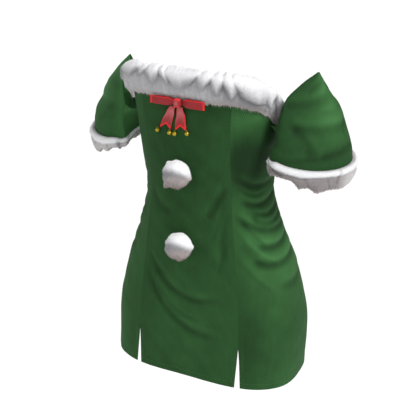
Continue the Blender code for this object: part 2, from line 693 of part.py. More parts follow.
def add_cuff(arm):
    """A fur band round the sleeve's bottom edge, with a toothed lower edge."""
    outer, _ = sleeve_grid(arm)
    bottom, top = with_midpoints(outer[0]), with_midpoints(outer[1])
    ahead = np.roll(bottom, -2, axis=0) - np.roll(bottom, 2, axis=0)
    out = np.stack([ahead[:, 1], -ahead[:, 0], np.zeros(len(bottom))], 1)
    out = unit(out)
    out = out * np.sign(((bottom - bottom.mean(0)) * out).sum())
    inside = ease(-2 * out[:, 0])
    step = np.linalg.norm(np.roll(bottom, -1, axis=0) - bottom, axis=1)
    turn = 2 * math.pi * (np.cumsum(step) - step[0]) / step.sum()
    depth = CUFF_DEPTH - CUFF_LUMP_DEPTH * (1 - np.abs(np.sin(turn * CUFF_LUMPS / 2)))
    tooth = CUFF_TOOTH_DEPTH * (1 - np.abs(np.sin(turn * CUFF_LUMPS / 2 + 0.8)))
    beside_body = bottom[:, 0] - body_side_x(bottom[:, 1], bottom[:, 2]) - 3 * SEAT
    room = np.clip(beside_body / CUFF_DEPTH, CUFF_LEAST_SHARE, CUFF_INNER_SHARE)
    depth = depth * (1 - inside * (1 - room))
    cloth = np.linalg.norm(bottom - top, axis=1).mean()
    off_cloth = out * 2 * SEAT
    top = top + (bottom - top) * (inside * CUFF_TOP_DROP_INSIDE / cloth)[:, None]
    loops = [top + off_cloth]
    for place in named_rows(CUFF_PROFILE, CUFF_PROFILE_COLUMNS):
        length = CUFF_HEIGHT - inside * CUFF_TOP_DROP_INSIDE + (tooth if place["down"] > 0.8 else 0)
        down = (length * place["down"] / cloth)[:, None]
        loops.append(top * (1 - down) + bottom * down + off_cloth + out * (depth * place["out"])[:, None])
    loops.append(bottom + off_cloth)
    add_ring("cuff_fur_" + arm["name"], mirrored(np.stack(loops, 1), arm["side"]), "white_fur")


def add_ball(name, centre, radius, lump, key, flat_back):
    """A lumpy ball whose back is pressed flat against the front panel."""
    work = bmesh.new()
    bmesh.ops.create_icosphere(work, subdivisions=3 if flat_back else 2, radius=radius)
    for vertex in work.verts:
        x, y, z = vertex.co
        wave = math.sin(9 * x / radius + 1.3) * math.sin(8 * z / radius + 0.4)
        wave += 0.6 * math.sin(11 * y / radius)
        vertex.co *= 1 + lump * wave / radius
        place = np.array(vertex.co) + centre
        if flat_back:
            place[1] = min(place[1], float(front_face_y(place[0], place[2])) - 2.2 * SEAT)
        vertex.co = place
    points = [list(vertex.co) for vertex in work.verts]
    faces = [[vertex.index for vertex in face.verts] for face in work.faces]
    work.free()
    return add_object(name, points, faces, key)


def add_pompoms():
    for ball in named_rows(POMPOMS, POMPOM_COLUMNS):
        y = float(front_face_y(ball["x"], ball["height"])) - POMPOM_STANDS_OUT * POMPOM_RADIUS
        centre = np.array((ball["x"], y, ball["height"]))
        add_ball(ball["name"], centre, POMPOM_RADIUS - POMPOM_LUMP, POMPOM_LUMP, "white_fur", True)


def bow_y():
    """The back of the bow's loops, in front of the fur's lower edge."""
    return float(front_face_y(0, KNOT_HEIGHT)) - BOW_OFF_CLOTH


def add_knot():
    """A rounded wrap of ribbon in front of the loops' ends."""
    work = bmesh.new()
    bmesh.ops.create_uvsphere(work, u_segments=12, v_segments=8, radius=1)
    centre = np.array((0, bow_y() - KNOT_HALF[1] - LOOP_HALF_DEPTH - SEAT, KNOT_HEIGHT))
    points = []
    for vertex in work.verts:
        shape = np.sign(vertex.co) * np.abs(vertex.co) ** KNOT_ROUNDNESS
        points.append(centre + shape * KNOT_HALF)
    faces = [[vertex.index for vertex in face.verts] for face in work.faces]
    work.free()
    add_object("bow_knot", points, faces, "red_ribbon")


def add_loops():
    """Each loop is a closed band of ribbon that starts and ends behind the knot."""
    turn = np.linspace(0, 2 * math.pi, LOOP_POINTS, endpoint=False)
    share = 0.5 - 0.5 * np.cos(turn)
    belly = LOOP_PINCH + (1 - LOOP_PINCH) * np.sin(math.pi * share) ** 0.6
    for loop in named_rows(LOOPS, LOOP_COLUMNS):
        start_x = math.copysign(LOOP_START_X, loop["end_x"])
        x = start_x + (loop["end_x"] - start_x) * share
        y = -np.sin(turn) * LOOP_HALF_DEPTH * belly
        middle = KNOT_HEIGHT + (loop["end_height"] - KNOT_HEIGHT) * share
        widened = ease((share - LOOP_WIDENS_FROM) / LOOP_WIDENS_OVER)
        half = loop["half_knot"] + (loop["half_end"] - loop["half_knot"]) * widened
        ahead_x = (np.roll(x, -1) - np.roll(x, 1)) / 2
        ahead_y = (np.roll(y, -1) - np.roll(y, 1)) / 2
        out = np.stack([ahead_y, -ahead_x], 1) / np.hypot(ahead_x, ahead_y)[:, None]
        out = out * np.sign((out * np.stack([x - x.mean(), y], 1)).sum())
        y = y + bow_y() - LOOP_HALF_DEPTH + RIBBON
        outer = np.array([np.stack([x, y, middle + step * half], 1) for step in (-1, 1)])
        inner = outer.copy()
        inner[..., :2] -= out * RIBBON
        add_shell(loop["name"], outer, inner, "red_ribbon", closed=True)


def add_tails():
    """Flat ribbon ends with a notch, which follow the front panel a little way off it."""
    share = np.linspace(0, 1, TAIL_ROWS)[:, None]
    across = np.array((-1.0, 0.0, 1.0))[None, :]
    for tail in named_rows(TAILS, TAIL_COLUMNS):
        top = tail["top_x"] + across * TAIL_TOP_HALF_WIDTH
        end_x = np.array((tail["left_x"], tail["notch_x"], tail["right_x"]))[None, :]
        end_height = np.array((tail["left_height"], tail["notch_height"], tail["right_height"]))[None, :]
        swung = (tail["swing"] + across * TAIL_BELLY) * np.sin(math.pi * share)
        x = top * (1 - share) + end_x * share + swung
        top_height = TAIL_TOP_HEIGHT + TAIL_TOP_RISES * np.abs(top)
        height = top_height * (1 - share) + end_height * share
        wave = TAIL_WAVE * share * np.sin(share * 5.0 + 0.5 * across)
        hung = front_face_y(x, height) - TAIL_OFF_CLOTH
        from_knot = bow_y() - TAIL_TOP_FORWARD - hung
        y = hung - wave + from_knot * (1 - ease(share / TAIL_MEETS_CLOTH))
        front = np.stack([x, y, height], -1)
        add_shell(tail["name"], front, front + (0, RIBBON, 0), "red_ribbon")


def add_bells():
    for bell in named_rows(BELLS, BELL_COLUMNS):
        y = float(front_face_y(bell["x"], bell["height"])) - BELL_RADIUS - 2 * SEAT
        centre = np.array((bell["x"], y, bell["height"]))
        add_ball(bell["name"], centre, BELL_RADIUS, 0.0, "gold_bell", False)


def main():
    for old in list(bpy.data.objects):
        bpy.data.objects.remove(old)
    add_body()
    add_neck_fur()
    for arm in named_rows(SIDES, SIDE_COLUMNS):
        add_sleeve(arm)
        add_cuff(arm)
    add_pompoms()
    add_knot()
    add_loops()
    add_tails()
    add_bells()


main()
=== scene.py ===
"""Looks of the green off-shoulder party dress: its cloth, fur trims, pompoms, bow and bells.

The row frame has +Z up, its front faces -Y, and its origin is the middle of the neckline.
Heights in the tables are above the hem, and LIFT brings them into this frame.
"""

import math

import bpy
import numpy as np
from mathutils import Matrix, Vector

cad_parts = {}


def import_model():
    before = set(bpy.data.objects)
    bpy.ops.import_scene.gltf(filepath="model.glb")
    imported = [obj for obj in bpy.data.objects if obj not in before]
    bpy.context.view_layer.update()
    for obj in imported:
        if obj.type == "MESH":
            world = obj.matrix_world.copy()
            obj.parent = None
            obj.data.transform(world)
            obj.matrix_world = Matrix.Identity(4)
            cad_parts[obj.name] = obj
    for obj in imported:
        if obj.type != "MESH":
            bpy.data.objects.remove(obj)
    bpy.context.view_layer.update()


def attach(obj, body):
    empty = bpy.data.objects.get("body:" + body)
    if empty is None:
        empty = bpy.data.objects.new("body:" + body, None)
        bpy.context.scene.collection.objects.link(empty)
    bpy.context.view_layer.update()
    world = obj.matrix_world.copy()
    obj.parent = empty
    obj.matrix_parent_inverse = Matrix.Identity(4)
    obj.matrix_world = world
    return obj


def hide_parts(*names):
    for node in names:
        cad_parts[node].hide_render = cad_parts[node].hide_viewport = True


# Sizes of the object in metres, as in the CAD source.
ORIGIN_HEIGHT = 0.545
LIFT = -ORIGIN_HEIGHT
CLOTH = 0.0016
SEAM_GAP = 0.00004
SEAT = 0.0004
SLIT_HEIGHT = 0.078
SLIT_HALF_WIDTH = 0.0048
SLIT_CLOSES = 0.082
HEM_FRONT = 0.0025
HEM_SIDE_DROP = 0.0075
HEM_SHAPED_TO = 0.150

BODY_COLUMNS = ("height", "half_width", "half_depth", "centre_y", "seam_x", "squareness")
BODY = (
    (0.000, 0.1950, 0.1200, 0.0000, 0.1090, 2.8),
    (0.080, 0.1960, 0.1205, 0.0060, 0.1078, 2.7),
    (0.200, 0.1750, 0.1160, 0.0070, 0.1005, 2.4),
    (0.290, 0.1415, 0.1100, 0.0000, 0.0905, 2.3),
    (0.370, 0.1215, 0.1020, -0.0045, 0.0825, 2.3),
    (0.450, 0.1285, 0.1070, -0.0045, 0.0825, 2.4),
    (0.620, 0.1440, 0.1155, -0.0045, 0.0944, 2.8),
)

NECK_FRONT = 0.583
NECK_BACK = 0.4970
NECK_DIP_STARTS_Y = -0.125
NECK_DIP_ENDS_Y = 0.075
NECK_LEAN = -0.035
CLOTH_ABOVE_NECK = 0.019

NECK_FUR_HALF_HEIGHT = 0.0280
NECK_FUR_HALF_HEIGHT_BACK = 0.0250
NECK_FUR_DEPTH = 0.0170
NECK_FUR_DEPTH_UNDER_SLEEVE = 0.0095
THIN_FUR_STARTS = math.radians(38)
THIN_FUR_IS_FULL = math.radians(19)
CORNER_BUNCH_ANGLE = math.radians(34)
CORNER_BUNCH_SPREAD = math.radians(11)
CORNER_BUNCH_DEPTH = 0.0065

CUFF_TOP_HEIGHT = 0.452
TIP_HEIGHT = 0.5915
SLEEVE_X = 0.202
SLEEVE_Y = -0.012
SLEEVE_LONG = 0.079
SLEEVE_SHORT = 0.0411
SLEEVE_TURN = math.radians(45)
SLEEVE_ARC = math.radians(262)
FRONT_EDGE_SPREAD = math.radians(52)
BACK_EDGE_SPREAD = math.radians(45)
SIDE_COLUMNS = ("name", "side", "lift", "tilt_x", "tilt_y")
SIDES = (
    ("left", 1, 0.0030, -0.38, 0.26),
    ("right", -1, 0.0145, -0.22, 0.30),
)
SLEEVE_COLUMNS = (
    "level", "long_share", "short_share", "shift_x", "shift_y", "front_x", "front_y", "back_x", "back_y",
)
SLEEVE = (
    (-0.15, 1.000, 1.000, 0.0000, 0.0000, 0.146, -0.069, 0.196, 0.052),
    (0.00, 1.000, 1.000, 0.0000, 0.0000, 0.147, -0.069, 0.196, 0.052),
    (0.20, 0.861, 0.902, 0.0054, 0.0038, 0.154, -0.062, 0.184, 0.054),
    (0.40, 0.743, 0.767, 0.0005, 0.0126, 0.154, -0.055, 0.168, 0.062),
    (0.60, 0.543, 0.635, 0.0005, 0.0209, 0.159, -0.051, 0.166, 0.066),
    (0.74, 0.390, 0.500, -0.0040, 0.0260, 0.163, -0.043, 0.172, 0.067),
    (0.87, 0.210, 0.330, -0.0078, 0.0340, 0.174, -0.004, 0.188, 0.042),
    (1.00, 0.025, 0.040, -0.0090, 0.0450, 0.192, 0.032, 0.193, 0.035),
)
UNDERARM_LEVEL = 0.065
UNDERARM_Y = -0.004
UNDERARM_HALF_WIDTH = 0.005
UNDERARM_WIDENS = 0.14
STRIP_TURNS_IN_BELOW = 0.02
CUFF_INNER_X = 0.1385
CUFF_INNER_Y = -0.0072
FRONT_SEAM_LEAVES_BODY = 0.28
FRONT_EDGE_IS_FREE = 0.42
BACK_SEAM_LEAVES_BODY = 0.065
BACK_EDGE_IS_FREE = 0.28
FREE_EDGE_TURN_X = -0.0012
FREE_EDGE_TURN_Y = 0.0040
STRIP_BOW_X = 0.0040
STRIP_BOW_Y = 0.0024
SLEEVE_KEEPS_OFF_BODY_WITHIN_Y = 0.060

CUFF_HEIGHT = 0.033
CUFF_DEPTH = 0.0115
CUFF_LEAST_SHARE = 0.2
CUFF_INNER_SHARE = 0.45
CUFF_TOP_DROP_INSIDE = 0.0060

POMPOM_RADIUS = 0.0258
POMPOM_STANDS_OUT = 0.88
POMPOM_COLUMNS = ("name", "x", "height")
POMPOMS = (
    ("pompom_upper", -0.0040, 0.4225),
    ("pompom_lower", -0.0015, 0.2845),
)

RIBBON = 0.0009
KNOT_HEIGHT = 0.5515
BOW_OFF_CLOTH = 0.0068
KNOT_HALF = (0.0073, 0.0050, 0.0077)
KNOT_ROUNDNESS = 0.72
LOOP_COLUMNS = ("name", "end_x", "end_height", "half_end", "half_knot")
LOOPS = (
    ("bow_loop_right", -0.0562, 0.5520, 0.0068, 0.0032),
    ("bow_loop_left", 0.0490, 0.5492, 0.0072, 0.0028),
)
LOOP_WIDENS_FROM = 0.05
LOOP_WIDENS_OVER = 0.31
LOOP_START_X = 0.0006
LOOP_HALF_DEPTH = 0.0038
LOOP_PINCH = 0.30
TAIL_COLUMNS = (
    "name", "top_x", "left_x", "left_height", "notch_x", "notch_height", "right_x", "right_height", "swing",
)
TAILS = (
    ("bow_tail_right", -0.0104, -0.0468, 0.4982, -0.0324, 0.5074, -0.0238, 0.4972, -0.0028),
    ("bow_tail_left", 0.0037, -0.0143, 0.4966, -0.0037, 0.5063, 0.0078, 0.4984, -0.0018),
)
TAIL_TOP_HEIGHT = 0.5434
TAIL_TOP_RISES = 0.05
TAIL_TOP_FORWARD = 0.0062
TAIL_TOP_HALF_WIDTH = 0.0048
TAIL_BELLY = 0.0012
TAIL_OFF_CLOTH = 0.0026
TAIL_WAVE = 0.0010
TAIL_MEETS_CLOTH = 0.45
BELL_RADIUS = 0.0042
BELL_COLUMNS = ("name", "x", "height")
BELLS = (
    ("bell_1", -0.0499, 0.4938),
    ("bell_2", -0.0243, 0.4924),
    ("bell_3", -0.0138, 0.4918),
    ("bell_4", 0.0109, 0.4950),
)

# Folds: start, middle and end as angle round the body (degrees) and height.
FOLD_COLUMNS = ("angle_0", "height_0", "angle_1", "height_1", "angle_2", "height_2", "depth", "half_width")
FOLD_STEPS = 121
FOLD_RIDGE_SHARE = 0.42
FOLD_RIDGE_ABOVE = 1.5
FOLD_FADE_LENGTH = 0.22
FOLD_LEAST_SHARE = 0.25
SEAM_CALM_WIDTH = 0.12
SEAM_FOLD_SHARE = 0.3
LEFT_SIDE_FOLDS = (
    (-45, 0.420, -33, 0.380, 15, 0.393, 0.0024, 0.0085),
    (-36, 0.368, -17, 0.340, 20, 0.369, 0.0032, 0.0080),
    (-26, 0.344, -8, 0.318, 22, 0.345, 0.0026, 0.0075),
    (-27, 0.338, -17, 0.297, 23, 0.325, 0.0028, 0.0080),
    (-45, 0.345, -18, 0.284, 23, 0.303, 0.0034, 0.0085),
    (-28, 0.282, -10, 0.258, 22, 0.281, 0.0036, 0.0090),
    (-33, 0.256, -20, 0.224, 23, 0.250, 0.0034, 0.0095),
    (-42, 0.290, -32, 0.262, -22, 0.242, 0.0016, 0.0100),
    (-17, 0.199, 3, 0.184, 22, 0.214, 0.0018, 0.0110),
    (46, 0.405, 36, 0.385, 24, 0.388, 0.0022, 0.0085),
    (46, 0.372, 38, 0.345, 25, 0.352, 0.0026, 0.0085),
    (46, 0.338, 36, 0.302, 24, 0.312, 0.0028, 0.0090),
    (46, 0.296, 38, 0.256, 24, 0.268, 0.0028, 0.0100),
)
RIGHT_SIDE_FOLDS = (
    (-135, 0.414, -150, 0.376, -194, 0.386, 0.0024, 0.0085),
    (-144, 0.362, -164, 0.332, -200, 0.364, 0.0030, 0.0085),
    (-136, 0.350, -160, 0.296, -203, 0.318, 0.0034, 0.0085),
    (-152, 0.286, -170, 0.258, -202, 0.284, 0.0034, 0.0090),
    (-147, 0.250, -162, 0.220, -203, 0.246, 0.0030, 0.0100),
    (-143, 0.330, -155, 0.248, -157, 0.190, 0.0018, 0.0100),
    (-226, 0.400, -214, 0.380, -202, 0.384, 0.0022, 0.0085),
    (-226, 0.352, -216, 0.318, -203, 0.328, 0.0026, 0.0090),
    (-226, 0.300, -216, 0.262, -203, 0.272, 0.0026, 0.0100),
)
FRONT_FOLDS = (
    (-127, 0.232, -102, 0.144, -62, 0.173, 0.0020, 0.0095),
    (-131, 0.218, -114, 0.092, -60, 0.095, 0.0018, 0.0100),
    (-131, 0.377, -128, 0.346, -106, 0.333, 0.0014, 0.0100),
    (-48, 0.399, -60, 0.353, -68, 0.334, 0.0018, 0.0100),
    (-47, 0.351, -56, 0.303, -54, 0.251, 0.0016, 0.0100),
)
BACK_FOLDS = (
    (132, 0.398, 90, 0.352, 48, 0.404, 0.0024, 0.0110),
    (131, 0.352, 92, 0.292, 49, 0.346, 0.0028, 0.0120),
    (130, 0.300, 88, 0.214, 50, 0.306, 0.0026, 0.0130),
)

# Finer creases between the main folds, which only the looks have.
LEFT_SIDE_CREASES = (
    (-41, 0.400, -27, 0.364, -7, 0.379, 0.0012, 0.0050),
    (-38, 0.331, -28, 0.299, -20, 0.278, 0.0010, 0.0055),
    (-45, 0.318, -33, 0.268, -14, 0.238, 0.0009, 0.0055),
    (-44, 0.262, -36, 0.222, -22, 0.190, 0.0008, 0.0060),
    (44, 0.388, 36, 0.366, 25, 0.368, 0.0009, 0.0048),
    (44, 0.320, 37, 0.284, 25, 0.290, 0.0010, 0.0050),
)
RIGHT_SIDE_CREASES = (
    (-137, 0.392, -152, 0.352, -180, 0.372, 0.0010, 0.0048),
    (-140, 0.334, -160, 0.282, -190, 0.302, 0.0010, 0.0050),
    (-140, 0.300, -156, 0.240, -176, 0.232, 0.0010, 0.0056),
    (-222, 0.376, -213, 0.348, -203, 0.354, 0.0009, 0.0050),
)
FRONT_CREASES = (
    (-130, 0.246, -124, 0.228, -111, 0.204, 0.0010, 0.0055),
    (-127, 0.215, -106, 0.118, -76, 0.128, 0.0009, 0.0060),
    (-49, 0.370, -58, 0.325, -63, 0.292, 0.0008, 0.0056),
    (-48, 0.300, -56, 0.262, -60, 0.222, 0.0007, 0.0060),
)
BACK_CREASES = (
    (128, 0.376, 96, 0.336, 66, 0.352, 0.0010, 0.0056),
    (122, 0.318, 90, 0.262, 58, 0.300, 0.0010, 0.0062),
    (116, 0.262, 88, 0.196, 62, 0.238, 0.0008, 0.0070),
)

SLEEVE_FOLD_COLUMNS = (
    "share_0", "level_0", "share_1", "level_1", "share_2", "level_2", "depth", "half_width",
)
SLEEVE_FOLDS = (
    (0.19, 0.82, 0.26, 0.86, 0.45, 0.95, 0.0016, 0.0085),
    (0.02, 0.69, 0.19, 0.64, 0.51, 0.79, 0.0026, 0.0090),
    (0.12, 0.42, 0.29, 0.38, 0.66, 0.45, 0.0032, 0.0095),
    (0.14, 0.41, 0.23, 0.39, 0.29, 0.07, 0.0020, 0.0100),
    (0.32, 0.14, 0.43, 0.17, 0.62, 0.22, 0.0024, 0.0090),
    (0.60, 0.78, 0.76, 0.72, 0.94, 0.70, 0.0020, 0.0090),
    (0.70, 0.45, 0.82, 0.42, 0.97, 0.50, 0.0026, 0.0095),
    (0.66, 0.20, 0.80, 0.17, 0.96, 0.26, 0.0022, 0.0090),
)
SLEEVE_FOLD_AROUND = 0.30
SLEEVE_FOLD_TALL = 0.14
SLEEVE_EDGE_CALM = 0.08

SLEEVE_CREASES = (
    (0.51, 0.34, 0.53, 0.40, 0.60, 0.58, 0.0012, 0.0055),
    (0.07, 0.00, 0.30, 0.13, 0.41, 0.14, 0.0012, 0.0055),
    (0.30, 0.60, 0.42, 0.56, 0.62, 0.66, 0.0009, 0.0050),
    (0.74, 0.58, 0.84, 0.56, 0.95, 0.60, 0.0009, 0.0050),
)
CREASE_SHARPNESS = 0.82

# Broad patches of painted light and shade on the panels: middle, reach each way and how much lighter.
TONE_COLUMNS = ("angle", "height", "half_angle", "half_height", "lighter")
PANEL_TONES = {
    "front_panel": (
        (-90, 0.440, 45, 0.120, -0.05), (-90, 0.110, 45, 0.120, 0.12), (-125, 0.300, 12, 0.120, 0.06),
    ),
    "side_panel_left": (
        (-24, 0.440, 26, 0.048, -0.30), (-40, 0.448, 14, 0.052, -0.36), (-26, 0.455, 14, 0.050, -0.24),
        (-38, 0.525, 12, 0.020, 0.16), (-42, 0.080, 16, 0.130, -0.30), (-46, 0.270, 9, 0.130, -0.14),
        (-14, 0.270, 22, 0.090, 0.10), (0, 0.100, 28, 0.130, -0.27),
    ),
    "side_panel_right": (
        (-146, 0.450, 28, 0.130, -0.24), (-155, 0.445, 28, 0.035, -0.06), (-138, 0.080, 14, 0.120, -0.14),
    ),
    "back_panel": ((90, 0.400, 40, 0.100, -0.05), (90, 0.110, 45, 0.120, 0.08)),
}
# Mean tone of each panel, with painted light that makes the side panels lighter than the front.
PANEL_BASE_TONE = {
    "front_panel": 0.345,
    "side_panel_left": 0.575,
    "side_panel_right": 0.58,
    "back_panel": 0.50,
}
FAR_FOLDS_SOFTENED = 0.45
# Mean tone of each sleeve, with painted light on the far right sleeve, which stands in shade.
SLEEVE_BASE_TONE = {"left": 0.29, "right": 0.57}
SLEEVE_FOLDS_SOFTENED = {"left": 0.80, "right": 0.42}
# Painted light in a band along each sleeve's lit outer side, rising from its lower part.
SLEEVE_LIGHT_SHARE = 0.42
SLEEVE_LIGHT_REACH = 0.17
SLEEVE_LIGHTER = 0.43
SLEEVE_LIGHT_FROM = 0.15
SLEEVE_LIGHT_OVER = 0.35
# Painted light on the far right sleeve's front edge and inner strip, which lie in the body's shade.
SLEEVE_FRONT_LIGHTER = {"left": 0.0, "right": 0.50}
SLEEVE_FRONT_REACH = 0.14
SLEEVE_UNEVEN_ABOVE = 0.1

# Grids of the looks' cloth.
PANEL_TOP = 0.597
ROWS = ((SLIT_HEIGHT, 28), (0.165, 32), (0.450, 132), (PANEL_TOP, 34))
PANEL_COLUMNS = 84
SLEEVE_ROWS_BELOW_UNDERARM = 8
SLEEVE_ROWS_TO_BACK_EDGE = 14
SLEEVE_ROWS_TO_FRONT_EDGE = 9
SLEEVE_ROWS_ABOVE = 34
SLEEVE_BOTTOM_LEVEL = -0.15
SLEEVE_OUTER_COLUMNS = 132
SLEEVE_STRIP_COLUMNS = 12
WAVINESS = 0.00035
SHARP_FROM = math.radians(55)
# How far out a fold has to stand to turn its painted light from the mean tone to the lightest; troughs get
# painted shade the same way.
PANEL_TONE_DEPTH = 0.0095
SLEEVE_TONE_DEPTH = 0.0120

# Stitches along the hem and the slits.
STITCH_LENGTH = 0.0028
STITCH_GAP = 0.0012
THREAD = 0.00028
STITCH_ROW = 4
STITCH_COLUMN = 2
STITCH_AROUND = 6
STITCH_RINGS = 5

# Fur of the neck.
CLUMP_LEAN = 7.0
CLUMP_CREASE_REACH = 2.1
NECK_SECTIONS = 912
NECK_ACROSS = 52
NECK_BACK_ROWS = 5
# The clumps that show on the front: the crease before each and its height in the band from -1 to 1,
# the tip and its height, how rounded the clump ends, and its shaded side. Places are in degrees.
NECK_CLUMPS = (
    (-143.0, 0.40, -134.8, 0.18, 0.9, 1),
    (-130.5, 0.48, -126.5, 0.26, 1.0, -1),
    (-123.0, 0.50, -113.2, -0.08, 1.0, -1),
    (-106.0, 0.38, -98.4, 0.02, 1.1, -1),
    (-96.8, 0.06, -87.0, -0.15, 0.30, 1),
    (-76.2, 0.44, -67.8, -0.08, 1.0, 1),
    (-64.0, 0.30, -57.8, -0.27, 1.0, 1),
    (-53.8, 0.10, -48.5, -0.45, 1.1, -1),
    (-44.5, 0.08, -33.0, -0.42, 0.45, 1),
    (-24.5, -0.30, -19.5, -0.48, 1.0, 1),
    (-16.2, 0.40, -8.5, -0.78, 1.2, 1),
)
NECK_CLUMP_SPACING = 14.0
# Longer tufts of the lower edge: place, half width in degrees and length in metres.
NECK_TUFTS = ((-152.0, 2.4, 0.0085), (-161.0, 10.0, 0.0060), (-9.0, 5.0, 0.0030), (-66.5, 1.6, 0.0030))
# Small teeth of the neck fur's edges: spacing in degrees and depth in metres.
NECK_TEETH = ((2.6, 0.0026), (11.0, 0.0034))
NECK_TOP_TEETH = (3.4, 0.0016)
NECK_TOP_DIP = 0.0045
NECK_TOP_WAVE = 0.0012
NECK_EDGE_LIFT = 0.0020
NECK_RIPPLE_SPACING = 4.5
# How far the clumps and the skirt below them stand out, as shares of the fur's depth.
CLUMP_STEP = 0.20
CLUMP_FADES_OVER = 0.85
CLUMP_FADES_TO_TOP = 0.55
CLUMP_RIDGE = 0.10
CLUMP_TILT = 0.05
CLUMP_CREASE_DEPTH = 0.13
SKIRT_DEPTH = 0.72
SKIRT_RIPPLE = 0.10
SKIRT_CREASE = 0.05
# Painted light and shade of the neck fur, from 0 to 1: clumps lit on top, their shaded side and creases, and
# the skirt below them in painted shade.
CLUMP_TONE = 0.45
CLUMP_TOP_LIGHTER = 0.30
CLUMP_RIGHT_CONTRAST = 0.05
CLUMP_SHADED_SIDE = 0.11
CLUMP_CREASE_DARKER = 0.13
SKIRT_TONE = 0.405
SKIRT_RIGHT_DARKER = 0.20
SKIRT_LOW_LIGHTER = 0.12
SKIRT_RIPPLE_LIGHTER = 0.05
SKIRT_WARM = 1.5
DARKEST_FUR = 0.05
NECK_RADIUS = 0.125
NECK_BEHIND = (0.9, 0.0)
NECK_SEED = 11
NECK_HAIR_LENGTH = 0.0038
NECK_HAIR_LONGER = 0.0012

# Fur of the cuffs.
CUFF_AROUND_SAMPLES = 460
CUFF_DOWN = 40
CUFF_BACK_ROWS = 3
CUFF_CREASE = 0.36
# Waves of the crease below the rim: how many, how high as a share of the cuff, and where they start.
CUFF_CREASE_WAVES = ((2, 0.05, 0.1), (5, 0.03, 0.6))
CUFF_FLAT_DROP = 0.0040
CUFF_OUTER_DROP = {"left": 0.0, "right": 0.0075}
CUFF_FLAT_SHARE = {"left": 1.0, "right": 0.5}
CUFF_ROUND = 0.42
# How much longer or shorter each cuff is than its solid, by share of the way round, in metres.
CUFF_EDGE_COLUMNS = ("share", "longer")
CUFF_EDGES = {
    "left": (
        (0.000, 0.0070), (0.015, 0.0110), (0.032, -0.0020), (0.048, -0.0080), (0.070, -0.0100),
        (0.115, -0.0100), (0.145, 0.0020), (0.180, -0.0022), (0.220, 0.0072), (0.280, 0.0015),
        (0.345, 0.0042), (0.410, -0.0010), (0.450, -0.0030), (0.520, 0.0030), (0.600, -0.0050),
        (0.660, 0.0030), (0.750, -0.0040), (0.800, 0.0020), (0.860, -0.0060), (0.940, -0.0060),
    ),
    "right": (
        (0.000, -0.0050), (0.030, -0.0050), (0.040, -0.0130), (0.065, -0.0140), (0.100, -0.0050),
        (0.130, -0.0090), (0.175, 0.0020), (0.220, 0.0030), (0.300, -0.0020), (0.380, 0.0020),
        (0.450, -0.0060), (0.520, 0.0010), (0.580, -0.0060), (0.700, -0.0060), (0.840, -0.0080),
        (0.890, 0.0010), (0.920, 0.0030), (0.945, -0.0040), (0.970, -0.0040),
    ),
}
# Short creases in the cuffs' fur: each runs between two places, as share round and share down.
CUFF_CREASE_COLUMNS = ("share_0", "down_0", "share_1", "down_1", "depth")
CUFF_CREASES = {
    "left": (
        (0.030, 0.40, 0.006, 0.10, 0.0026), (0.030, 0.40, 0.012, 1.00, 0.0030),
        (0.030, 0.40, 0.070, 0.62, 0.0028), (0.160, 0.40, 0.185, 1.00, 0.0008),
        (0.255, 0.36, 0.275, 1.00, 0.0008), (0.320, 0.05, 0.300, 0.60, 0.0012),
        (0.560, 0.30, 0.570, 1.00, 0.0012), (0.700, 0.20, 0.690, 0.90, 0.0010),
    ),
    "right": (
        (0.030, 0.25, 0.028, 1.00, 0.0026), (0.085, 0.40, 0.080, 1.00, 0.0010),
        (0.185, 0.30, 0.180, 1.00, 0.0012), (0.920, 0.20, 0.905, 1.00, 0.0012),
        (0.500, 0.30, 0.510, 1.00, 0.0012), (0.640, 0.20, 0.650, 0.90, 0.0010),
    ),
}
CUFF_CREASE_HALF_WIDTH = 0.0028
# How far the rolled rim and the skirt below it stand out, as shares of the cuff's depth.
CUFF_ROLL = 0.48
CUFF_SKIRT = 0.66
CUFF_SKIRT_SWELLS = 0.16
CUFF_UNEVEN = 0.06
# Painted light and shade of the cuffs, from 0 to 1.
CUFF_RIM_DARKER = 0.20
CUFF_SKIRT_LIGHTER = 0.10
CUFF_LINE_DARKER = 0.08
CUFF_LINE_REACH = 0.08
CUFF_DENT_DARKER = 0.26
CUFF_SKIRT_WARM = 0.30
CUFF_EDGE_WARM = 0.9
# Where round the cuff it is pressed flat, drops at its outer end and has painted light there: start, end and
# the width of the change at each.
CUFF_FLAT_AT = (0.81, 0.995, 0.05, 0.02)
CUFF_DROP_AT = (0.24, 0.72, 0.12, 0.12)
CUFF_LIGHTER_AT = (0.29, 0.60, 0.08, 0.15)
# Painted light and shade of each cuff's rim, outer side and skirt.
CUFF_ROLL_TONE = {"left": 0.80, "right": 1.0}
CUFF_OUTER_LIGHTER = {"left": 0.40, "right": 0.0}
CUFF_SKIRT_TONE = {"left": 0.11, "right": 0.60}
CUFF_DARK_CREASE = 0.0018
CUFF_BEHIND = (0.4, 0.3)
CUFF_TEETH = (0.0055, 0.0018)
CUFF_HAIR_LENGTH = 0.0034
CUFF_SEEDS = {"left": 23, "right": 31}

# Pompoms.
POMPOM_AROUND = 168
POMPOM_UP = 96
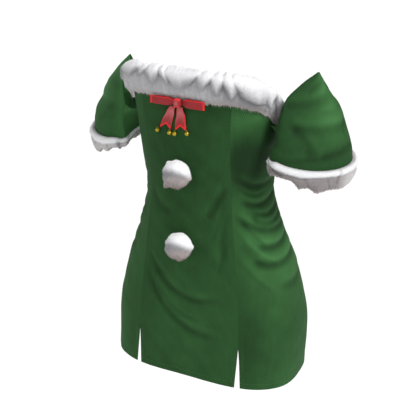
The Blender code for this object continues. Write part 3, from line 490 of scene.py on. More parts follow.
# Soft corners in each pompom's outline: to the wearer's left, forward and up, and how far each stands out.
CORNER_COLUMNS = ("left", "forward", "up", "stands")
POMPOM_CORNERS = {
    "pompom_upper": (
        (-0.51, 0.54, -0.66, 0.0078), (0.90, -0.32, -0.29, 0.0034), (-0.64, -0.02, 0.77, 0.0038),
        (-0.16, -0.33, 0.93, 0.0010), (0.22, 0.30, -0.93, 0.0018), (-0.95, 0.33, 0.33, 0.0010),
    ),
    "pompom_lower": (
        (0.90, -0.42, -0.05, 0.0030), (-0.85, 0.49, -0.17, 0.0020), (-0.90, 0.31, 0.30, 0.0014),
        (0.20, 0.31, -0.93, 0.0024), (-0.57, -0.08, 0.82, 0.0018), (0.13, -0.45, 0.88, 0.0010),
    ),
}
CORNER_REACH = 0.30
POMPOM_CORE = 0.955
POMPOM_CLUMP_STANDS = 0.008
PARTING_DEPTH = 0.045
PARTING_REACH = 0.22
# Height of the parting across a pompom, as seen from the front: at its middle, and how it bends sideways.
PARTING_AT = -0.08
PARTING_SLOPE = 0.32
PARTING_CURVE = 0.18
# Painted light and shade of the pompoms, from 0 to 1.
POMPOM_TONE = 0.92
POMPOM_CLUMP_LIGHTER = 0.04
POMPOM_LOW_DARKER = 0.54
PARTING_DARKER = 0.12
POMPOM_FOOT_LIGHTER = 0.10
POMPOM_WARM = 0.8
# The ways to the right and up of the photograph, along X, Y and Z.
TO_SCREEN_RIGHT = (0.90, 0.44, 0.0)
TO_SCREEN_TOP = (-0.16, 0.33, 0.93)
POMPOM_CLUMPS = 40
POMPOM_SWIRL = (0.25, 0.9, 0.35)
POMPOM_HANGS = (0.0, 0.0, -0.35)
POMPOM_HAIRS_END_Y = 0.45
POMPOM_HAIR_LENGTH = 0.0030
POMPOM_SEED = 41

# Fine hairs of the fur: how many, how wide, and the range of their length and of their angle to the fur.
HAIR_COLUMNS = ("count", "width", "shortest", "longest", "flattest", "steepest")
HAIRS = {
    "neck": (34000, 0.00042, 0.6, 1.25, 0.05, 0.40),
    "cuff": (13000, 0.00040, 0.6, 1.25, 0.03, 0.30),
    "pompom": (7500, 0.00038, 0.5, 1.20, 0.10, 0.60),
}
HAIR_SUNK = 0.0004
HAIR_STRAYS = 0.22
HAIR_BENDS = 0.16
HAIR_FOLLOWS_FLOW = 0.55
HAIR_ROLLS = 0.7
HAIR_NARROWS = 0.75
HAIR_PALER_TO_TIP = 0.06
HAIR_DARKER_AT_ROOT = 0.02
HAIR_TEXTURE = 0.006

# Grids of the bow and the bells: round and across, or round and up.
KNOT_GRID = (96, 56)
LOOP_GRID = (128, 15)
TAIL_GRID = (17, 48)
BELL_GRID = (72, 48)
BELL_RING_GRID = (10, 24)
BELL_RING = 0.00105
BELL_WIRE = 0.00030

# Fine shapes of the bow and the bells, and the ribbon's painted sheen. Pleats are in metres, the rest are
# shares.
KNOT_GATHERS = 0.035
KNOT_PALE = 0.75
LOOP_PALE = 0.03
TAIL_PALE = 0.95
LOOP_PLEAT = 0.0007
LOOP_PLEAT_REACH = 0.22
TAIL_PLEAT = 0.0004
BELL_BALL = 0.97
BELL_SEAM = 0.035
BELL_SLOT_DEPTH = 0.16
BELL_SLOT_HALF_WIDTH = 0.13

# Weave, in metres, and how strongly it and broad patches of nap show.
WALE_PITCH = 0.0034
WALE_SLANT = (0.80, 0.60)
WALE_WANDERS = 0.0005
THREAD_PITCH = 0.0011
WEFT_PITCH = 0.0013
WEAVE_TONE = 0.46
PATCH_TONE = 0.16
RIB_PITCH = 0.00065
PLY_PITCH = 0.00050
# How fine the noises are, in turns per metre.
WALE_WOBBLE = 260.0
CLOTH_FIBRE = 2600.0
NAP_PATCHES = 16.0
FUR_HAIRS = 1500.0
FUR_TUFTS = 190.0
RIBBON_THREADS = 3200.0
RIBBON_CLOUDS = 120.0
BELL_MARKS = 900.0
THREAD_FIBRE = 4200.0
PAPER_GRAIN = 60.0

# Colours from dark to light, each after its place on the ramp.
CLOTH_COLOURS = (
    (0.00, (0.0055, 0.0200, 0.0055)),
    (0.50, (0.0226, 0.0800, 0.0216)),
    (1.00, (0.0560, 0.1720, 0.0550)),
)
FUR_COLOURS = (
    (0.00, (0.060, 0.059, 0.064)),
    (0.25, (0.160, 0.158, 0.168)),
    (0.50, (0.360, 0.358, 0.370)),
    (0.75, (0.620, 0.620, 0.633)),
    (1.00, (0.890, 0.890, 0.900)),
)
FUR_WARM = (0.34, 0.272, 0.255, 1)
RIBBON_COLOURS = (
    (0.15, (0.160, 0.006, 0.009)),
    (0.55, (0.280, 0.012, 0.016)),
    (0.95, (0.430, 0.026, 0.032)),
)
# Painted highlight in brighter red along the ribbon's edges and ends, and a paler pink painted sheen.
RIBBON_EDGE = (0.72, 0.016, 0.020, 1)
RIBBON_PALE = (0.47, 0.105, 0.112, 1)
BELL_COLOURS = (
    (0.30, (0.26, 0.19, 0.015)),
    (0.60, (0.50, 0.40, 0.022)),
    (0.85, (0.74, 0.62, 0.060)),
)
# Painted shade in the bells' slots, for the dark inside.
BELL_SLOT = (0.030, 0.018, 0.008, 1)
THREAD_COLOURS = ((0.2, (0.018, 0.070, 0.020)), (0.9, (0.052, 0.170, 0.056)))
PAPER_COLOURS = ((0.3, (0.940, 0.940, 0.940)), (0.7, (0.965, 0.965, 0.965)))

# Camera: where the photograph was taken from, and its lens.
CAMERA_PLACE = (0.62577, -1.27873, 0.32718)
CAMERA_BACK = (0.4103, -0.8345, 0.3679)
SENSOR = 36.0
LENS = 67.18

FLOOR_BELOW_HEM = 1.05
FLOOR_HALF = 40.0

LIGHT_COLUMNS = ("name", "towards", "strength", "spread")
LIGHTS = (
    ("key", (1.0, -0.15, 0.9), 3.4, 26),
    ("fill", (-0.8, -1.0, 0.35), 0.66, 60),
    ("front", (0.45, -1.0, 0.30), 0.40, 60),
)
WORLD_STRENGTH = 0.32


def named_rows(table, columns):
    return [dict(zip(columns, row)) for row in table]


def column(table, columns, name):
    return np.array([row[columns.index(name)] for row in table], float)


def smooth_curve(xs, ys):
    """A monotone cubic through the table's points, as a function."""
    steps = np.diff(xs)
    slopes = np.diff(ys) / steps
    tangents = np.zeros(len(xs))
    for i in range(1, len(xs) - 1):
        before, after = slopes[i - 1], slopes[i]
        if before * after > 0:
            w0 = 2 * steps[i] + steps[i - 1]
            w1 = steps[i] + 2 * steps[i - 1]
            tangents[i] = (w0 + w1) / (w0 / before + w1 / after)
    tangents[0], tangents[-1] = slopes[0], slopes[-1]

    def value(x):
        x = np.clip(np.asarray(x, float), xs[0], xs[-1])
        i = np.clip(np.searchsorted(xs, x, side="right") - 1, 0, len(steps) - 1)
        t = (x - xs[i]) / steps[i]
        a = (1 + 2 * t) * (1 - t) ** 2 * ys[i] + t * (1 - t) ** 2 * steps[i] * tangents[i]
        b = t * t * (3 - 2 * t) * ys[i + 1] + t * t * (t - 1) * steps[i] * tangents[i + 1]
        return a + b

    return value


def curves(table, columns):
    first = column(table, columns, columns[0])
    return {name: smooth_curve(first, column(table, columns, name)) for name in columns[1:]}


def ease(t):
    t = np.clip(t, 0, 1)
    return t * t * (3 - 2 * t)


def hump(value, middle, reach):
    """A soft hump that is 1 at its middle and dies away over its reach."""
    return np.exp(-(((value - middle) / reach) ** 2))


def stretch(value, start, end, starting, ending):
    """1 between a start and an end, and 0 outside, with a soft change at each."""
    return ease((value - start) / starting) * ease((end - value) / ending)


def full_turn(count):
    return np.linspace(0, 2 * math.pi, count, endpoint=False)


def ball_ways(around, up):
    """Ways out all round a ball, in rows from its foot to its top, and the turn and the rise of each."""
    turn = full_turn(around)[None, :]
    rise = np.linspace(-math.pi / 2, math.pi / 2, up)[:, None]
    flat = np.cos(rise)
    way = np.stack(np.broadcast_arrays(flat * np.cos(turn), flat * np.sin(turn), np.sin(rise)), -1)
    return turn, rise, way


def unit(vectors):
    return vectors / np.maximum(np.linalg.norm(vectors, axis=-1, keepdims=True), 1e-12)


def line_lengths(line):
    """How far along a line each of its points lies."""
    return np.concatenate([[0], np.cumsum(np.linalg.norm(np.diff(line, axis=0), axis=1))])


def on_line(values, along, at):
    """Points or ways that are known at a line's points, at other places along it."""
    return np.stack([np.interp(at, along, values[:, k]) for k in range(3)], -1)


BODY_AT = curves(BODY, BODY_COLUMNS)
SLEEVE_AT = curves(SLEEVE, SLEEVE_COLUMNS)


def body_size(height):
    return [BODY_AT[name](height) for name in ("half_width", "half_depth", "squareness")]


def squared_ellipse(share, power):
    """How far along one half axis an outline is where it is at a share of the other."""
    return (1 - share**power) ** (1 / power)


def body_point(angle, height):
    """A point of the body's outer face, with no folds, at an angle round the body in radians."""
    wide, deep, power = body_size(height)
    radius = (np.abs(np.cos(angle) / wide) ** power + np.abs(np.sin(angle) / deep) ** power) ** (-1 / power)
    y = BODY_AT["centre_y"](height) + radius * np.sin(angle)
    return np.stack(np.broadcast_arrays(radius * np.cos(angle), y, height), -1)


def body_normal(angle, height):
    small = 1e-4
    round_it = body_point(angle + small, height) - body_point(angle - small, height)
    up_it = body_point(angle, height + small) - body_point(angle, height - small)
    return unit(np.cross(round_it, up_it))


def seam_angle(height):
    """The angle of the seam at the front corner of the +X side, as a positive number from the X axis."""
    wide, deep, power = body_size(height)
    x = BODY_AT["seam_x"](height)
    return np.arctan2(deep * squared_ellipse(x / wide, power), x)


def neck_height_at(angle):
    """The height of the middle of the neck band."""
    x, y = np.moveaxis(body_point(angle, NECK_FRONT)[..., :2], -1, 0)
    dip = ease((y - NECK_DIP_STARTS_Y) / (NECK_DIP_ENDS_Y - NECK_DIP_STARTS_Y))
    return NECK_FRONT - (NECK_FRONT - NECK_BACK) * dip + NECK_LEAN * x


def fold_route(fold, across, up):
    """Points of a fold's line: a curve from its start to its end, drawn towards its middle place."""
    t = np.linspace(0, 1, FOLD_STEPS)
    shares = (1 - t) ** 2, 2 * t * (1 - t), t * t
    return [sum(share * fold[f"{name}_{i}"] for i, share in enumerate(shares)) for name in (across, up)]


def fold_relief(offset, upper_side, half_width):
    """A trough along a fold's line and a soft ridge on its upper side, from offsets to the line's points."""
    gap = np.linalg.norm(offset, axis=-1)
    nearest = gap.argmin(-1)[..., None]
    distance = np.take_along_axis(gap, nearest, -1)[..., 0] / half_width
    side = np.take_along_axis((offset * upper_side).sum(-1), nearest, -1)[..., 0] / half_width
    t = nearest[..., 0] / (FOLD_STEPS - 1)
    fade = ease(np.minimum(t, 1 - t) / FOLD_FADE_LENGTH + FOLD_LEAST_SHARE)
    beyond = np.maximum(distance**2 - side**2, 0)
    ridge = np.exp(-((side - FOLD_RIDGE_ABOVE) ** 2) - beyond)
    return fade * (FOLD_RIDGE_SHARE * ridge - np.exp(-(distance**2)))


def fold_depths(points, folds):
    """How far each point of a panel moves out."""
    moved = np.zeros(points.shape[:2])
    for fold in named_rows(folds, FOLD_COLUMNS):
        angle, height = fold_route(fold, "angle", "height")
        angle = np.radians(angle)
        route = body_point(angle, height)
        upper_side = unit(np.cross(body_normal(angle, height), np.gradient(route, axis=0)))
        upper_side = upper_side * math.copysign(1, fold["angle_2"] - fold["angle_0"])
        offset = points[..., None, :] - route
        moved += fold["depth"] * fold_relief(offset, upper_side, CREASE_SHARPNESS * fold["half_width"])
    return moved


def grid_normals(points):
    down = np.gradient(points, axis=0)
    across = np.gradient(points, axis=1)
    return unit(np.cross(across, down))


# Meshes.


def grid_quads(rows, columns, round_it=False, round_up=False):
    """Quads of a grid of points, as index numbers. A grid can close round its columns and its rows."""
    i = np.arange(rows if round_up else rows - 1)[:, None]
    j = np.arange(columns if round_it else columns - 1)[None, :]
    after, beside = (i + 1) % rows, (j + 1) % columns
    corners = (i * columns + j, i * columns + beside, after * columns + beside, after * columns + j)
    return np.stack(np.broadcast_arrays(*corners), -1).reshape(-1, 4)


def add_object(name, data):
    made = bpy.data.objects.new(name, data)
    bpy.context.scene.collection.objects.link(made)
    return made


def make_mesh(name, points, faces, finish, uv=None, shades=None, sharp=True):
    """A mesh object in the row frame, with its flat place in metres and named shades at each vertex."""
    points = np.asarray(points, float).reshape(-1, 3) + (0, 0, LIFT)
    mesh = bpy.data.meshes.new(name)
    rows = faces.tolist() if isinstance(faces, np.ndarray) else faces
    mesh.from_pydata(points.tolist(), [], [tuple(face) for face in rows])
    if uv is not None:
        layer = mesh.uv_layers.new(name="cloth")
        corner = np.empty(len(mesh.loops), np.int32)
        mesh.loops.foreach_get("vertex_index", corner)
        layer.data.foreach_set("uv", np.asarray(uv, np.float32).reshape(-1, 2)[corner].ravel())
    for key, values in (shades or {}).items():
        attribute = mesh.attributes.new(key, "FLOAT", "POINT")
        attribute.data.foreach_set("value", np.asarray(values, np.float32).ravel())
    mesh.shade_smooth()
    if sharp:
        mesh.set_sharp_from_angle(angle=SHARP_FROM)
    mesh.materials.append(finish)
    return add_object(name, mesh)


def settle(piece, slot, *nodes):
    """The piece rides on the dress and stands for these CAD nodes, which it hides. Its slot is not used."""
    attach(piece, "root")
    if nodes:
        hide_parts(*nodes)
    return piece


def shell_faces(rows, columns, present, closed):
    """Faces of a wall between an outer and an inner grid, with rims round every open edge."""
    layer = rows * columns
    i, j = np.nonzero(present)
    beside = (j + 1) % columns
    a, b = i * columns + j, i * columns + beside
    c, d = b + columns, a + columns
    faces = [np.stack([a, b, c, d], 1), np.stack([d, c, b, a], 1) + layer]
    padded = np.zeros((present.shape[0] + 2, present.shape[1] + 2), bool)
    padded[1:-1, 1:-1] = present
    if closed:
        padded[1:-1, 0], padded[1:-1, -1] = present[:, -1], present[:, 0]
    for start, end, step_i, step_j in ((a, b, -1, 0), (b, c, 0, 1), (c, d, 1, 0), (d, a, 0, -1)):
        edge = ~padded[i + 1 + step_i, j + 1 + step_j]
        start, end = start[edge], end[edge]
        faces.append(np.stack([end, start, start + layer, end + layer], 1))
    return np.concatenate(faces)


def make_shell(name, outer, inner, finish, uv, shades, present=None, closed=False):
    rows, columns = outer.shape[:2]
    if present is None:
        present = np.ones((rows - 1, columns if closed else columns - 1), bool)
    faces = shell_faces(rows, columns, present, closed)
    points = np.concatenate([outer.reshape(-1, 3), inner.reshape(-1, 3)])
    used = np.unique(faces)
    index = np.full(len(points), -1)
    index[used] = np.arange(len(used))
    both = {key: np.concatenate([values.ravel(), values.ravel()])[used] for key, values in shades.items()}
    uv = np.concatenate([uv.reshape(-1, 2), uv.reshape(-1, 2)])[used]
    return make_mesh(name, points[used], index[faces], finish, uv, both)


# Materials.


class Nodes:
    """Short calls for building one material's node tree."""

    def __init__(self, name):
        self.material = bpy.data.materials.new(name)
        self.material.use_nodes = True
        self.tree = self.material.node_tree
        self.shader = self.tree.nodes["Principled BSDF"]

    def node(self, kind, **settings):
        made = self.tree.nodes.new(kind)
        for key, value in settings.items():
            setattr(made, key, value)
        return made

    def link(self, source, target):
        self.tree.links.new(source, target)

    def put(self, socket, value):
        if isinstance(value, bpy.types.NodeSocket):
            self.link(value, socket)
        else:
            socket.default_value = value

    def math(self, operation, first, second=0.0):
        made = self.node("ShaderNodeMath", operation=operation)
        self.put(made.inputs[0], first)
        self.put(made.inputs[1], second)
        return made.outputs[0]

    def attribute(self, name):
        return self.node("ShaderNodeAttribute", attribute_name=name).outputs["Fac"]

    def noise(self, scale, detail=2.0, vector=None):
        made = self.node("ShaderNodeTexNoise")
        made.inputs["Scale"].default_value = scale
        made.inputs["Detail"].default_value = detail
        if vector is not None:
            self.link(vector, made.inputs["Vector"])
        return made.outputs["Fac"]

    def total(self, *parts):
        """The sum of values, each times the weight that comes with it."""
        found = None
        for value, weight in parts:
            term = value if weight == 1 else self.math("MULTIPLY", value, weight)
            found = term if found is None else self.math("ADD", found, term)
        return found

    def above(self, value, middle):
        return self.math("SUBTRACT", value, middle)

    def wave(self, across, pitch):
        """A smooth row of ridges, from 0 to 1, as across goes on by one pitch (both in metres)."""
        turned = self.math("SINE", self.math("MULTIPLY", across, 2 * math.pi / pitch))
        return self.math("ADD", self.math("MULTIPLY", turned, 0.5), 0.5)

    def mix(self, share, first, second):
        made = self.node("ShaderNodeMix", data_type="RGBA")
        self.put(made.inputs[0], share)
        self.put(made.inputs[6], first)
        self.put(made.inputs[7], second)
        return made.outputs[2]

    def ramp(self, share, stops):
        made = self.node("ShaderNodeValToRGB")
        self.put(made.inputs[0], share)
        points = made.color_ramp.elements
        while len(points) < len(stops):
            points.new(0.5)
        for point, (place, colour) in zip(points, stops):
            point.position = place
            point.color = (*colour, 1)
        return made.outputs[0]

    def bump(self, height, distance, strength):
        made = self.node("ShaderNodeBump")
        made.inputs["Distance"].default_value = distance
        made.inputs["Strength"].default_value = strength
        self.put(made.inputs["Height"], height)
        return made.outputs[0]

    def flat_place(self):
        """The cloth's own directions, in metres: across and along."""
        place = self.node("ShaderNodeUVMap", uv_map="cloth").outputs[0]
        parts = self.node("ShaderNodeSeparateXYZ")
        self.link(place, parts.inputs[0])
        return parts.outputs[0], parts.outputs[1], place

    def finish(self, **values):
        for key, value in values.items():
            self.put(self.shader.inputs[key.replace("_", " ")], value)
        return self.material


def green_cloth():
    """Twill with slanting wales and threads crossing them, with painted light that is paler on the folds'
    ridges and painted shade in their troughs.
    """
    n = Nodes("green_twill")
    u, v, place = n.flat_place()
    wobble = n.noise(WALE_WOBBLE, 1.0, place)
    slant = n.total((u, WALE_SLANT[0]), (v, WALE_SLANT[1]), (wobble, WALE_WANDERS))
    picks = n.math("MULTIPLY", n.wave(v, THREAD_PITCH), n.wave(u, WEFT_PITCH))
    fibre = n.noise(CLOTH_FIBRE, 3.0, place)
    weave = n.total((n.wave(slant, WALE_PITCH), 0.62), (picks, 0.22), (fibre, 0.30))
    patches = n.above(n.noise(NAP_PATCHES, 3.0), 0.50)
    tone = n.total((n.above(weave, 0.57), WEAVE_TONE), (patches, PATCH_TONE), (n.attribute("lift"), 1))
    colour = n.ramp(tone, CLOTH_COLOURS)
    normal = n.bump(weave, 0.0004, 0.55)
    n.finish(Base_Color=colour, Normal=normal, Roughness=0.85, Specular_IOR_Level=0.12)
    return n.finish(Sheen_Weight=0.06, Sheen_Roughness=0.45, Sheen_Tint=(0.35, 0.70, 0.35, 1))


def white_fur():
    """Pile with painted shade that greys its valleys, warm along its lower edge, with fine lengthways hairs.
    """
    n = Nodes("white_pile")
    _, _, place = n.flat_place()
    stretched = n.node("ShaderNodeMapping")
    stretched.inputs["Scale"].default_value = (1.0, 0.16, 1.0)
    n.link(place, stretched.inputs[0])
    hairs = n.noise(FUR_HAIRS, 3.0, stretched.outputs[0])
    tufts = n.noise(FUR_TUFTS, 2.0, place)
    tone = n.total((n.attribute("lift"), 1), (n.above(hairs, 0.5), 0.16), (n.above(tufts, 0.5), 0.12))
    colour = n.mix(n.attribute("edge"), n.ramp(tone, FUR_COLOURS), FUR_WARM)
    normal = n.bump(n.total((hairs, 1), (tufts, 0.5)), 0.0012, 0.6)
    n.finish(Base_Color=colour, Normal=normal, Roughness=0.95)
    return n.finish(Sheen_Weight=0.30, Sheen_Roughness=0.6)


def red_ribbon():
    """Satin ribbon: fine crossways ribs, a painted highlight along its edges and ends, and a paler painted
    sheen in places.
    """
    n = Nodes("red_satin")
    u, _, place = n.flat_place()
    ribs = n.wave(u, RIB_PITCH)
    threads = n.noise(RIBBON_THREADS, 2.0, place)
    tone = n.total((ribs, 0.25), (threads, 0.35), (n.noise(RIBBON_CLOUDS, 2.0), 0.40))
    red = n.mix(n.attribute("edge"), n.ramp(tone, RIBBON_COLOURS), RIBBON_EDGE)
    colour = n.mix(n.attribute("pale"), red, RIBBON_PALE)
    normal = n.bump(n.total((ribs, 1), (threads, 1)), 0.00010, 0.5)
    n.finish(Base_Color=colour, Normal=normal, Roughness=0.52, Specular_IOR_Level=0.24)
    return n.finish(Sheen_Weight=0.05, Anisotropic=0.35)


def gold_bell():
    """Thin plated sheet, brighter in random worn marks, with painted shade in its slots for the bell's dark
    inside.
    """
    n = Nodes("bell_gold")
    marks = n.noise(BELL_MARKS, 3.0)
    colour = n.mix(n.attribute("slot"), n.ramp(marks, BELL_COLOURS), BELL_SLOT)
    rough = n.math("ADD", n.math("MULTIPLY", marks, 0.25), 0.22)
    normal = n.bump(marks, 0.00008, 0.4)
    return n.finish(Base_Color=colour, Normal=normal, Roughness=rough, Metallic=0.85)


def green_thread():
    """Two-ply sewing thread."""
    n = Nodes("green_thread")
    u, v, _ = n.flat_place()
    ply = n.wave(n.total((u, 1), (v, 0.8)), PLY_PITCH)
    tone = n.total((ply, 0.6), (n.noise(THREAD_FIBRE, 2.0), 0.4))
    normal = n.bump(tone, 0.00006, 0.6)
    return n.finish(Base_Color=n.ramp(tone, THREAD_COLOURS), Normal=normal, Roughness=0.60)


def floor_paper():
    n = Nodes("floor_paper")
    return n.finish(Base_Color=n.ramp(n.noise(PAPER_GRAIN, 2.0), PAPER_COLOURS), Roughness=0.95)


# Cloth.


def levels(steps):
    found = [0.0]
    for top, count in steps:
        found += list(found[-1] + (top - found[-1]) * np.arange(1, count + 1) / count)
    return np.array(found)


def panel_surface(start, end, slit_start=0, slit_end=0):
    """Angle and height of a panel's grid between two seams, each a function from height to angle."""
    share = np.linspace(0, 1, PANEL_COLUMNS)[None, :]
    level = levels(ROWS)[:, None]
    height = level * np.ones((1, PANEL_COLUMNS))
    for _ in range(3):
        angle = start(height) * (1 - share) + end(height) * share
        top = neck_height_at(start(PANEL_TOP) * (1 - share) + end(PANEL_TOP) * share) + CLOTH_ABOVE_NECK
        height = level / PANEL_TOP * top
    radius = np.linalg.norm(body_point(angle, height)[..., :2], axis=-1)
    opening = np.clip(1 - height / SLIT_CLOSES, 0, 1) ** 0.9 * SLIT_HALF_WIDTH
    near_start = (SEAM_GAP / 2 + slit_start * opening) / radius
    near_end = (SEAM_GAP / 2 + slit_end * opening) / radius
    angle = angle + near_start * (1 - share) - near_end * share
    hem = HEM_FRONT - HEM_SIDE_DROP * np.cos(angle) ** 2
    height = height + hem * np.clip(1 - height / HEM_SHAPED_TO, 0, 1)
    return angle, height


def lengths_along(points, axis):
    """How far each point of a grid lies along its row or column, in metres, from the middle one."""
    step = np.linalg.norm(np.diff(points, axis=axis), axis=-1)
    pad = [(0, 0), (0, 0)]
    pad[axis] = (1, 0)
    total = np.cumsum(np.pad(step, pad), axis=axis)
    middle = points.shape[axis] // 2
    return total - np.take(total, [middle], axis=axis)


def flat_size(points, present=1.0):
    """Width, length and area of a grid of cloth when it lies flat."""
    across, along = lengths_along(points, 1), lengths_along(points, 0)
    width, length = np.ptp(across, axis=1).max(), np.ptp(along, axis=0).max()
    first = np.cross(points[1:, 1:] - points[:-1, :-1], points[1:, :-1] - points[:-1, 1:])
    return float(width), float(length), float((np.linalg.norm(first, axis=-1) * present).sum() / 2)


def waviness(points):
    """A slight unevenness, a few centimetres across, as hanging cloth has."""
    x, y, z = np.moveaxis(points, -1, 0)
    wave = np.sin(83 * x + 41 * z + 0.7) * np.sin(67 * z - 37 * y + 1.9)
    wave += 0.6 * np.sin(151 * z + 59 * x - 43 * y + 0.4) * np.sin(97 * x + 71 * y)
    return WAVINESS * wave


def painted_light_patches(node, angle, height):
    """How much lighter a panel is at each place, from its broad patches of painted light and shade."""
    found = np.zeros(angle.shape)
    for tone in named_rows(PANEL_TONES[node], TONE_COLUMNS):
        across = (np.degrees(angle) - tone["angle"]) / tone["half_angle"]
        along = (height - tone["height"]) / tone["half_height"]
        found += tone["lighter"] * np.exp(-(across**2) - along**2)
    return found


def make_stitches(name, runs, finish):
    """Straight stitches along lines on the cloth. Each line is its points and the cloth's way out there."""
    around, rings = STITCH_AROUND, STITCH_RINGS
    turn = full_turn(around)[:, None]
    bow = np.linspace(0, 1, rings)
    points, places = [], []
    for line, normal in runs:
        along = line_lengths(line)
        starts = np.arange(STITCH_GAP, along[-1] - STITCH_LENGTH, STITCH_LENGTH + STITCH_GAP)
        at = starts[:, None] + STITCH_LENGTH * bow
        middle = on_line(line, along, at)
        out = unit(on_line(normal, along, at))
        aside = unit(np.cross(middle[:, -1:] - middle[:, :1], out))
        middle = middle + out * ((1.3 * np.sin(math.pi * bow) - 0.6) * THREAD)[:, None]
        radius = (THREAD * np.clip(np.sin(math.pi * bow), 0.12, 1) ** 0.5)[:, None, None]
        ring = out[:, :, None] * np.cos(turn) + aside[:, :, None] * np.sin(turn)
        points.append((middle[:, :, None] + radius * ring).reshape(-1, 3))
        places.append(np.stack(np.broadcast_arrays(at[..., None], THREAD * turn[:, 0]), -1).reshape(-1, 2))
    points, places = np.concatenate(points), np.concatenate(places)
    one = grid_quads(rings, around, round_it=True).tolist()
    one += [list(range(around))[::-1], list(range((rings - 1) * around, rings * around))]
    faces = [[k + first for k in face] for first in range(0, len(points), rings * around) for face in one]
    return settle(make_mesh(name, points, faces, finish, places), "green_cloth")


def make_panel(name, node, start, end, folds, creases, finish, thread, softened=1.0, **slits):
    angle, height = panel_surface(start, end, **slits)
    base = body_point(angle, height)
    normal = body_normal(angle, height)
    share = np.linspace(0, 1, PANEL_COLUMNS)[None, :]
    from_seam = ease(np.minimum(share, 1 - share) / SEAM_CALM_WIDTH)
    fold_share = SEAM_FOLD_SHARE + (1 - SEAM_FOLD_SHARE) * from_seam
    moved = fold_depths(base, folds + creases) * fold_share * softened
    moved += waviness(base) * from_seam
    outer = base + normal * moved[..., None]
    uv = np.stack([lengths_along(base, 1), lengths_along(base, 0)], -1)
    # Painted light and shade: paler on the folds' ridges, darker in their troughs, over the panel's mean
    # tone and its broad painted patches.
    lift = PANEL_BASE_TONE[node] + moved / PANEL_TONE_DEPTH + painted_light_patches(node, angle, height)
    lift = np.clip(lift, 0, 1)
    piece = make_shell(name, outer, outer - normal * CLOTH, finish, uv, {"lift": lift})
    settle(piece, "green_cloth", node)
    hem = (outer[STITCH_ROW], normal[STITCH_ROW])
    sides = {"slit_start": STITCH_COLUMN, "slit_end": -1 - STITCH_COLUMN}
    up_to = ROWS[0][1] + 1
    runs = [hem] + [(outer[STITCH_ROW:up_to, sides[k]], normal[STITCH_ROW:up_to, sides[k]]) for k in slits]
    make_stitches(name + "_stitches", runs, thread)
    return piece, flat_size(base)


def seam(turned, side):
    """One of the four seams, as a function from height to angle."""
    return lambda height: turned + side * seam_angle(height)


def front_face_y(x, height):
    """The front panel's outer face, with no folds, at a place seen from the front."""
    wide, deep, power = body_size(height)
    return BODY_AT["centre_y"](height) - deep * squared_ellipse(np.clip(np.abs(x) / wide, 0, 0.98), power)


def sleeve_height(level, x, y, arm):
    """The height of a level at a place: it leans at the cuff as that arm does, and is flat at the tip."""
    x = x - SLEEVE_X - float(SLEEVE_AT["shift_x"](level))
    y = y - SLEEVE_Y - float(SLEEVE_AT["shift_y"](level))
    lean = arm["lift"] + arm["tilt_x"] * x + arm["tilt_y"] * y
    return CUFF_TOP_HEIGHT + (TIP_HEIGHT - CUFF_TOP_HEIGHT) * level + lean * (1 - max(level, 0))


def sleeve_row(level, turn, arm):
    """Points round the outside of the sleeve at one level, from the front edge to the back edge."""
    at = {name: float(SLEEVE_AT[name](level)) for name in SLEEVE_AT}
    along = np.array((math.cos(SLEEVE_TURN), math.sin(SLEEVE_TURN)))
    beside = np.array((-along[1], along[0]))
    offset = at["long_share"] * SLEEVE_LONG * np.cos(turn)[:, None] * along
    offset = offset + at["short_share"] * SLEEVE_SHORT * np.sin(turn)[:, None] * beside
    plan = offset + (SLEEVE_X + at["shift_x"], SLEEVE_Y + at["shift_y"])
    front_gap = np.array((at["front_x"], at["front_y"])) - plan[0]
    back_gap = np.array((at["back_x"], at["back_y"])) - plan[-1]
    near_front = hump(turn, turn[0], FRONT_EDGE_SPREAD)
    near_back = hump(turn, turn[-1], BACK_EDGE_SPREAD)
    plan = plan + near_front[:, None] * front_gap + near_back[:, None] * back_gap
    height = sleeve_height(level, plan[:, 0], plan[:, 1], arm)
    return np.concatenate([plan, height[:, None]], 1)


def body_side_x(y, height):
    """The outer face of the body's +X side at a place seen from that side."""
    wide, deep, power = body_size(height)
    return wide * squared_ellipse(np.clip(np.abs(y - BODY_AT["centre_y"](height)) / deep, 0, 0.95), power)


def inner_strip(edge, level, towards, arm):
    """Points from a row's edge point in to the body: towards is -1 for the front strip, 1 for the back."""
    leaves = FRONT_SEAM_LEAVES_BODY if towards < 0 else BACK_SEAM_LEAVES_BODY
    free = FRONT_EDGE_IS_FREE if towards < 0 else BACK_EDGE_IS_FREE
    reach = ease((level + STRIP_TURNS_IN_BELOW) / (UNDERARM_LEVEL + STRIP_TURNS_IN_BELOW))
    half = UNDERARM_HALF_WIDTH + UNDERARM_WIDENS * max(level - UNDERARM_LEVEL, 0)
    y = UNDERARM_Y + towards * half + CUFF_INNER_Y * (1 - reach)
    on_body = body_side_x(y, sleeve_height(level, CUFF_INNER_X, y, arm)) + 2 * SEAT
    x = CUFF_INNER_X * (1 - reach) + on_body * reach
    seat = np.array((x, y, sleeve_height(level, x, y, arm)))
    if level > leaves:
        leave = ease((level - leaves) / (free - leaves)) ** 0.6
        turned_in = edge + np.array((FREE_EDGE_TURN_X, -towards * FREE_EDGE_TURN_Y, 0))
        seat = seat * (1 - leave) + turned_in * leave
    share = np.linspace(0, 1, SLEEVE_STRIP_COLUMNS + 1)[1:, None]
    keep = 1 - ease((level - leaves) / (free - leaves))
    bow = np.sin(share * math.pi) * np.array((STRIP_BOW_X, towards * STRIP_BOW_Y, 0))
    return edge * (1 - share) + seat * share + bow * keep


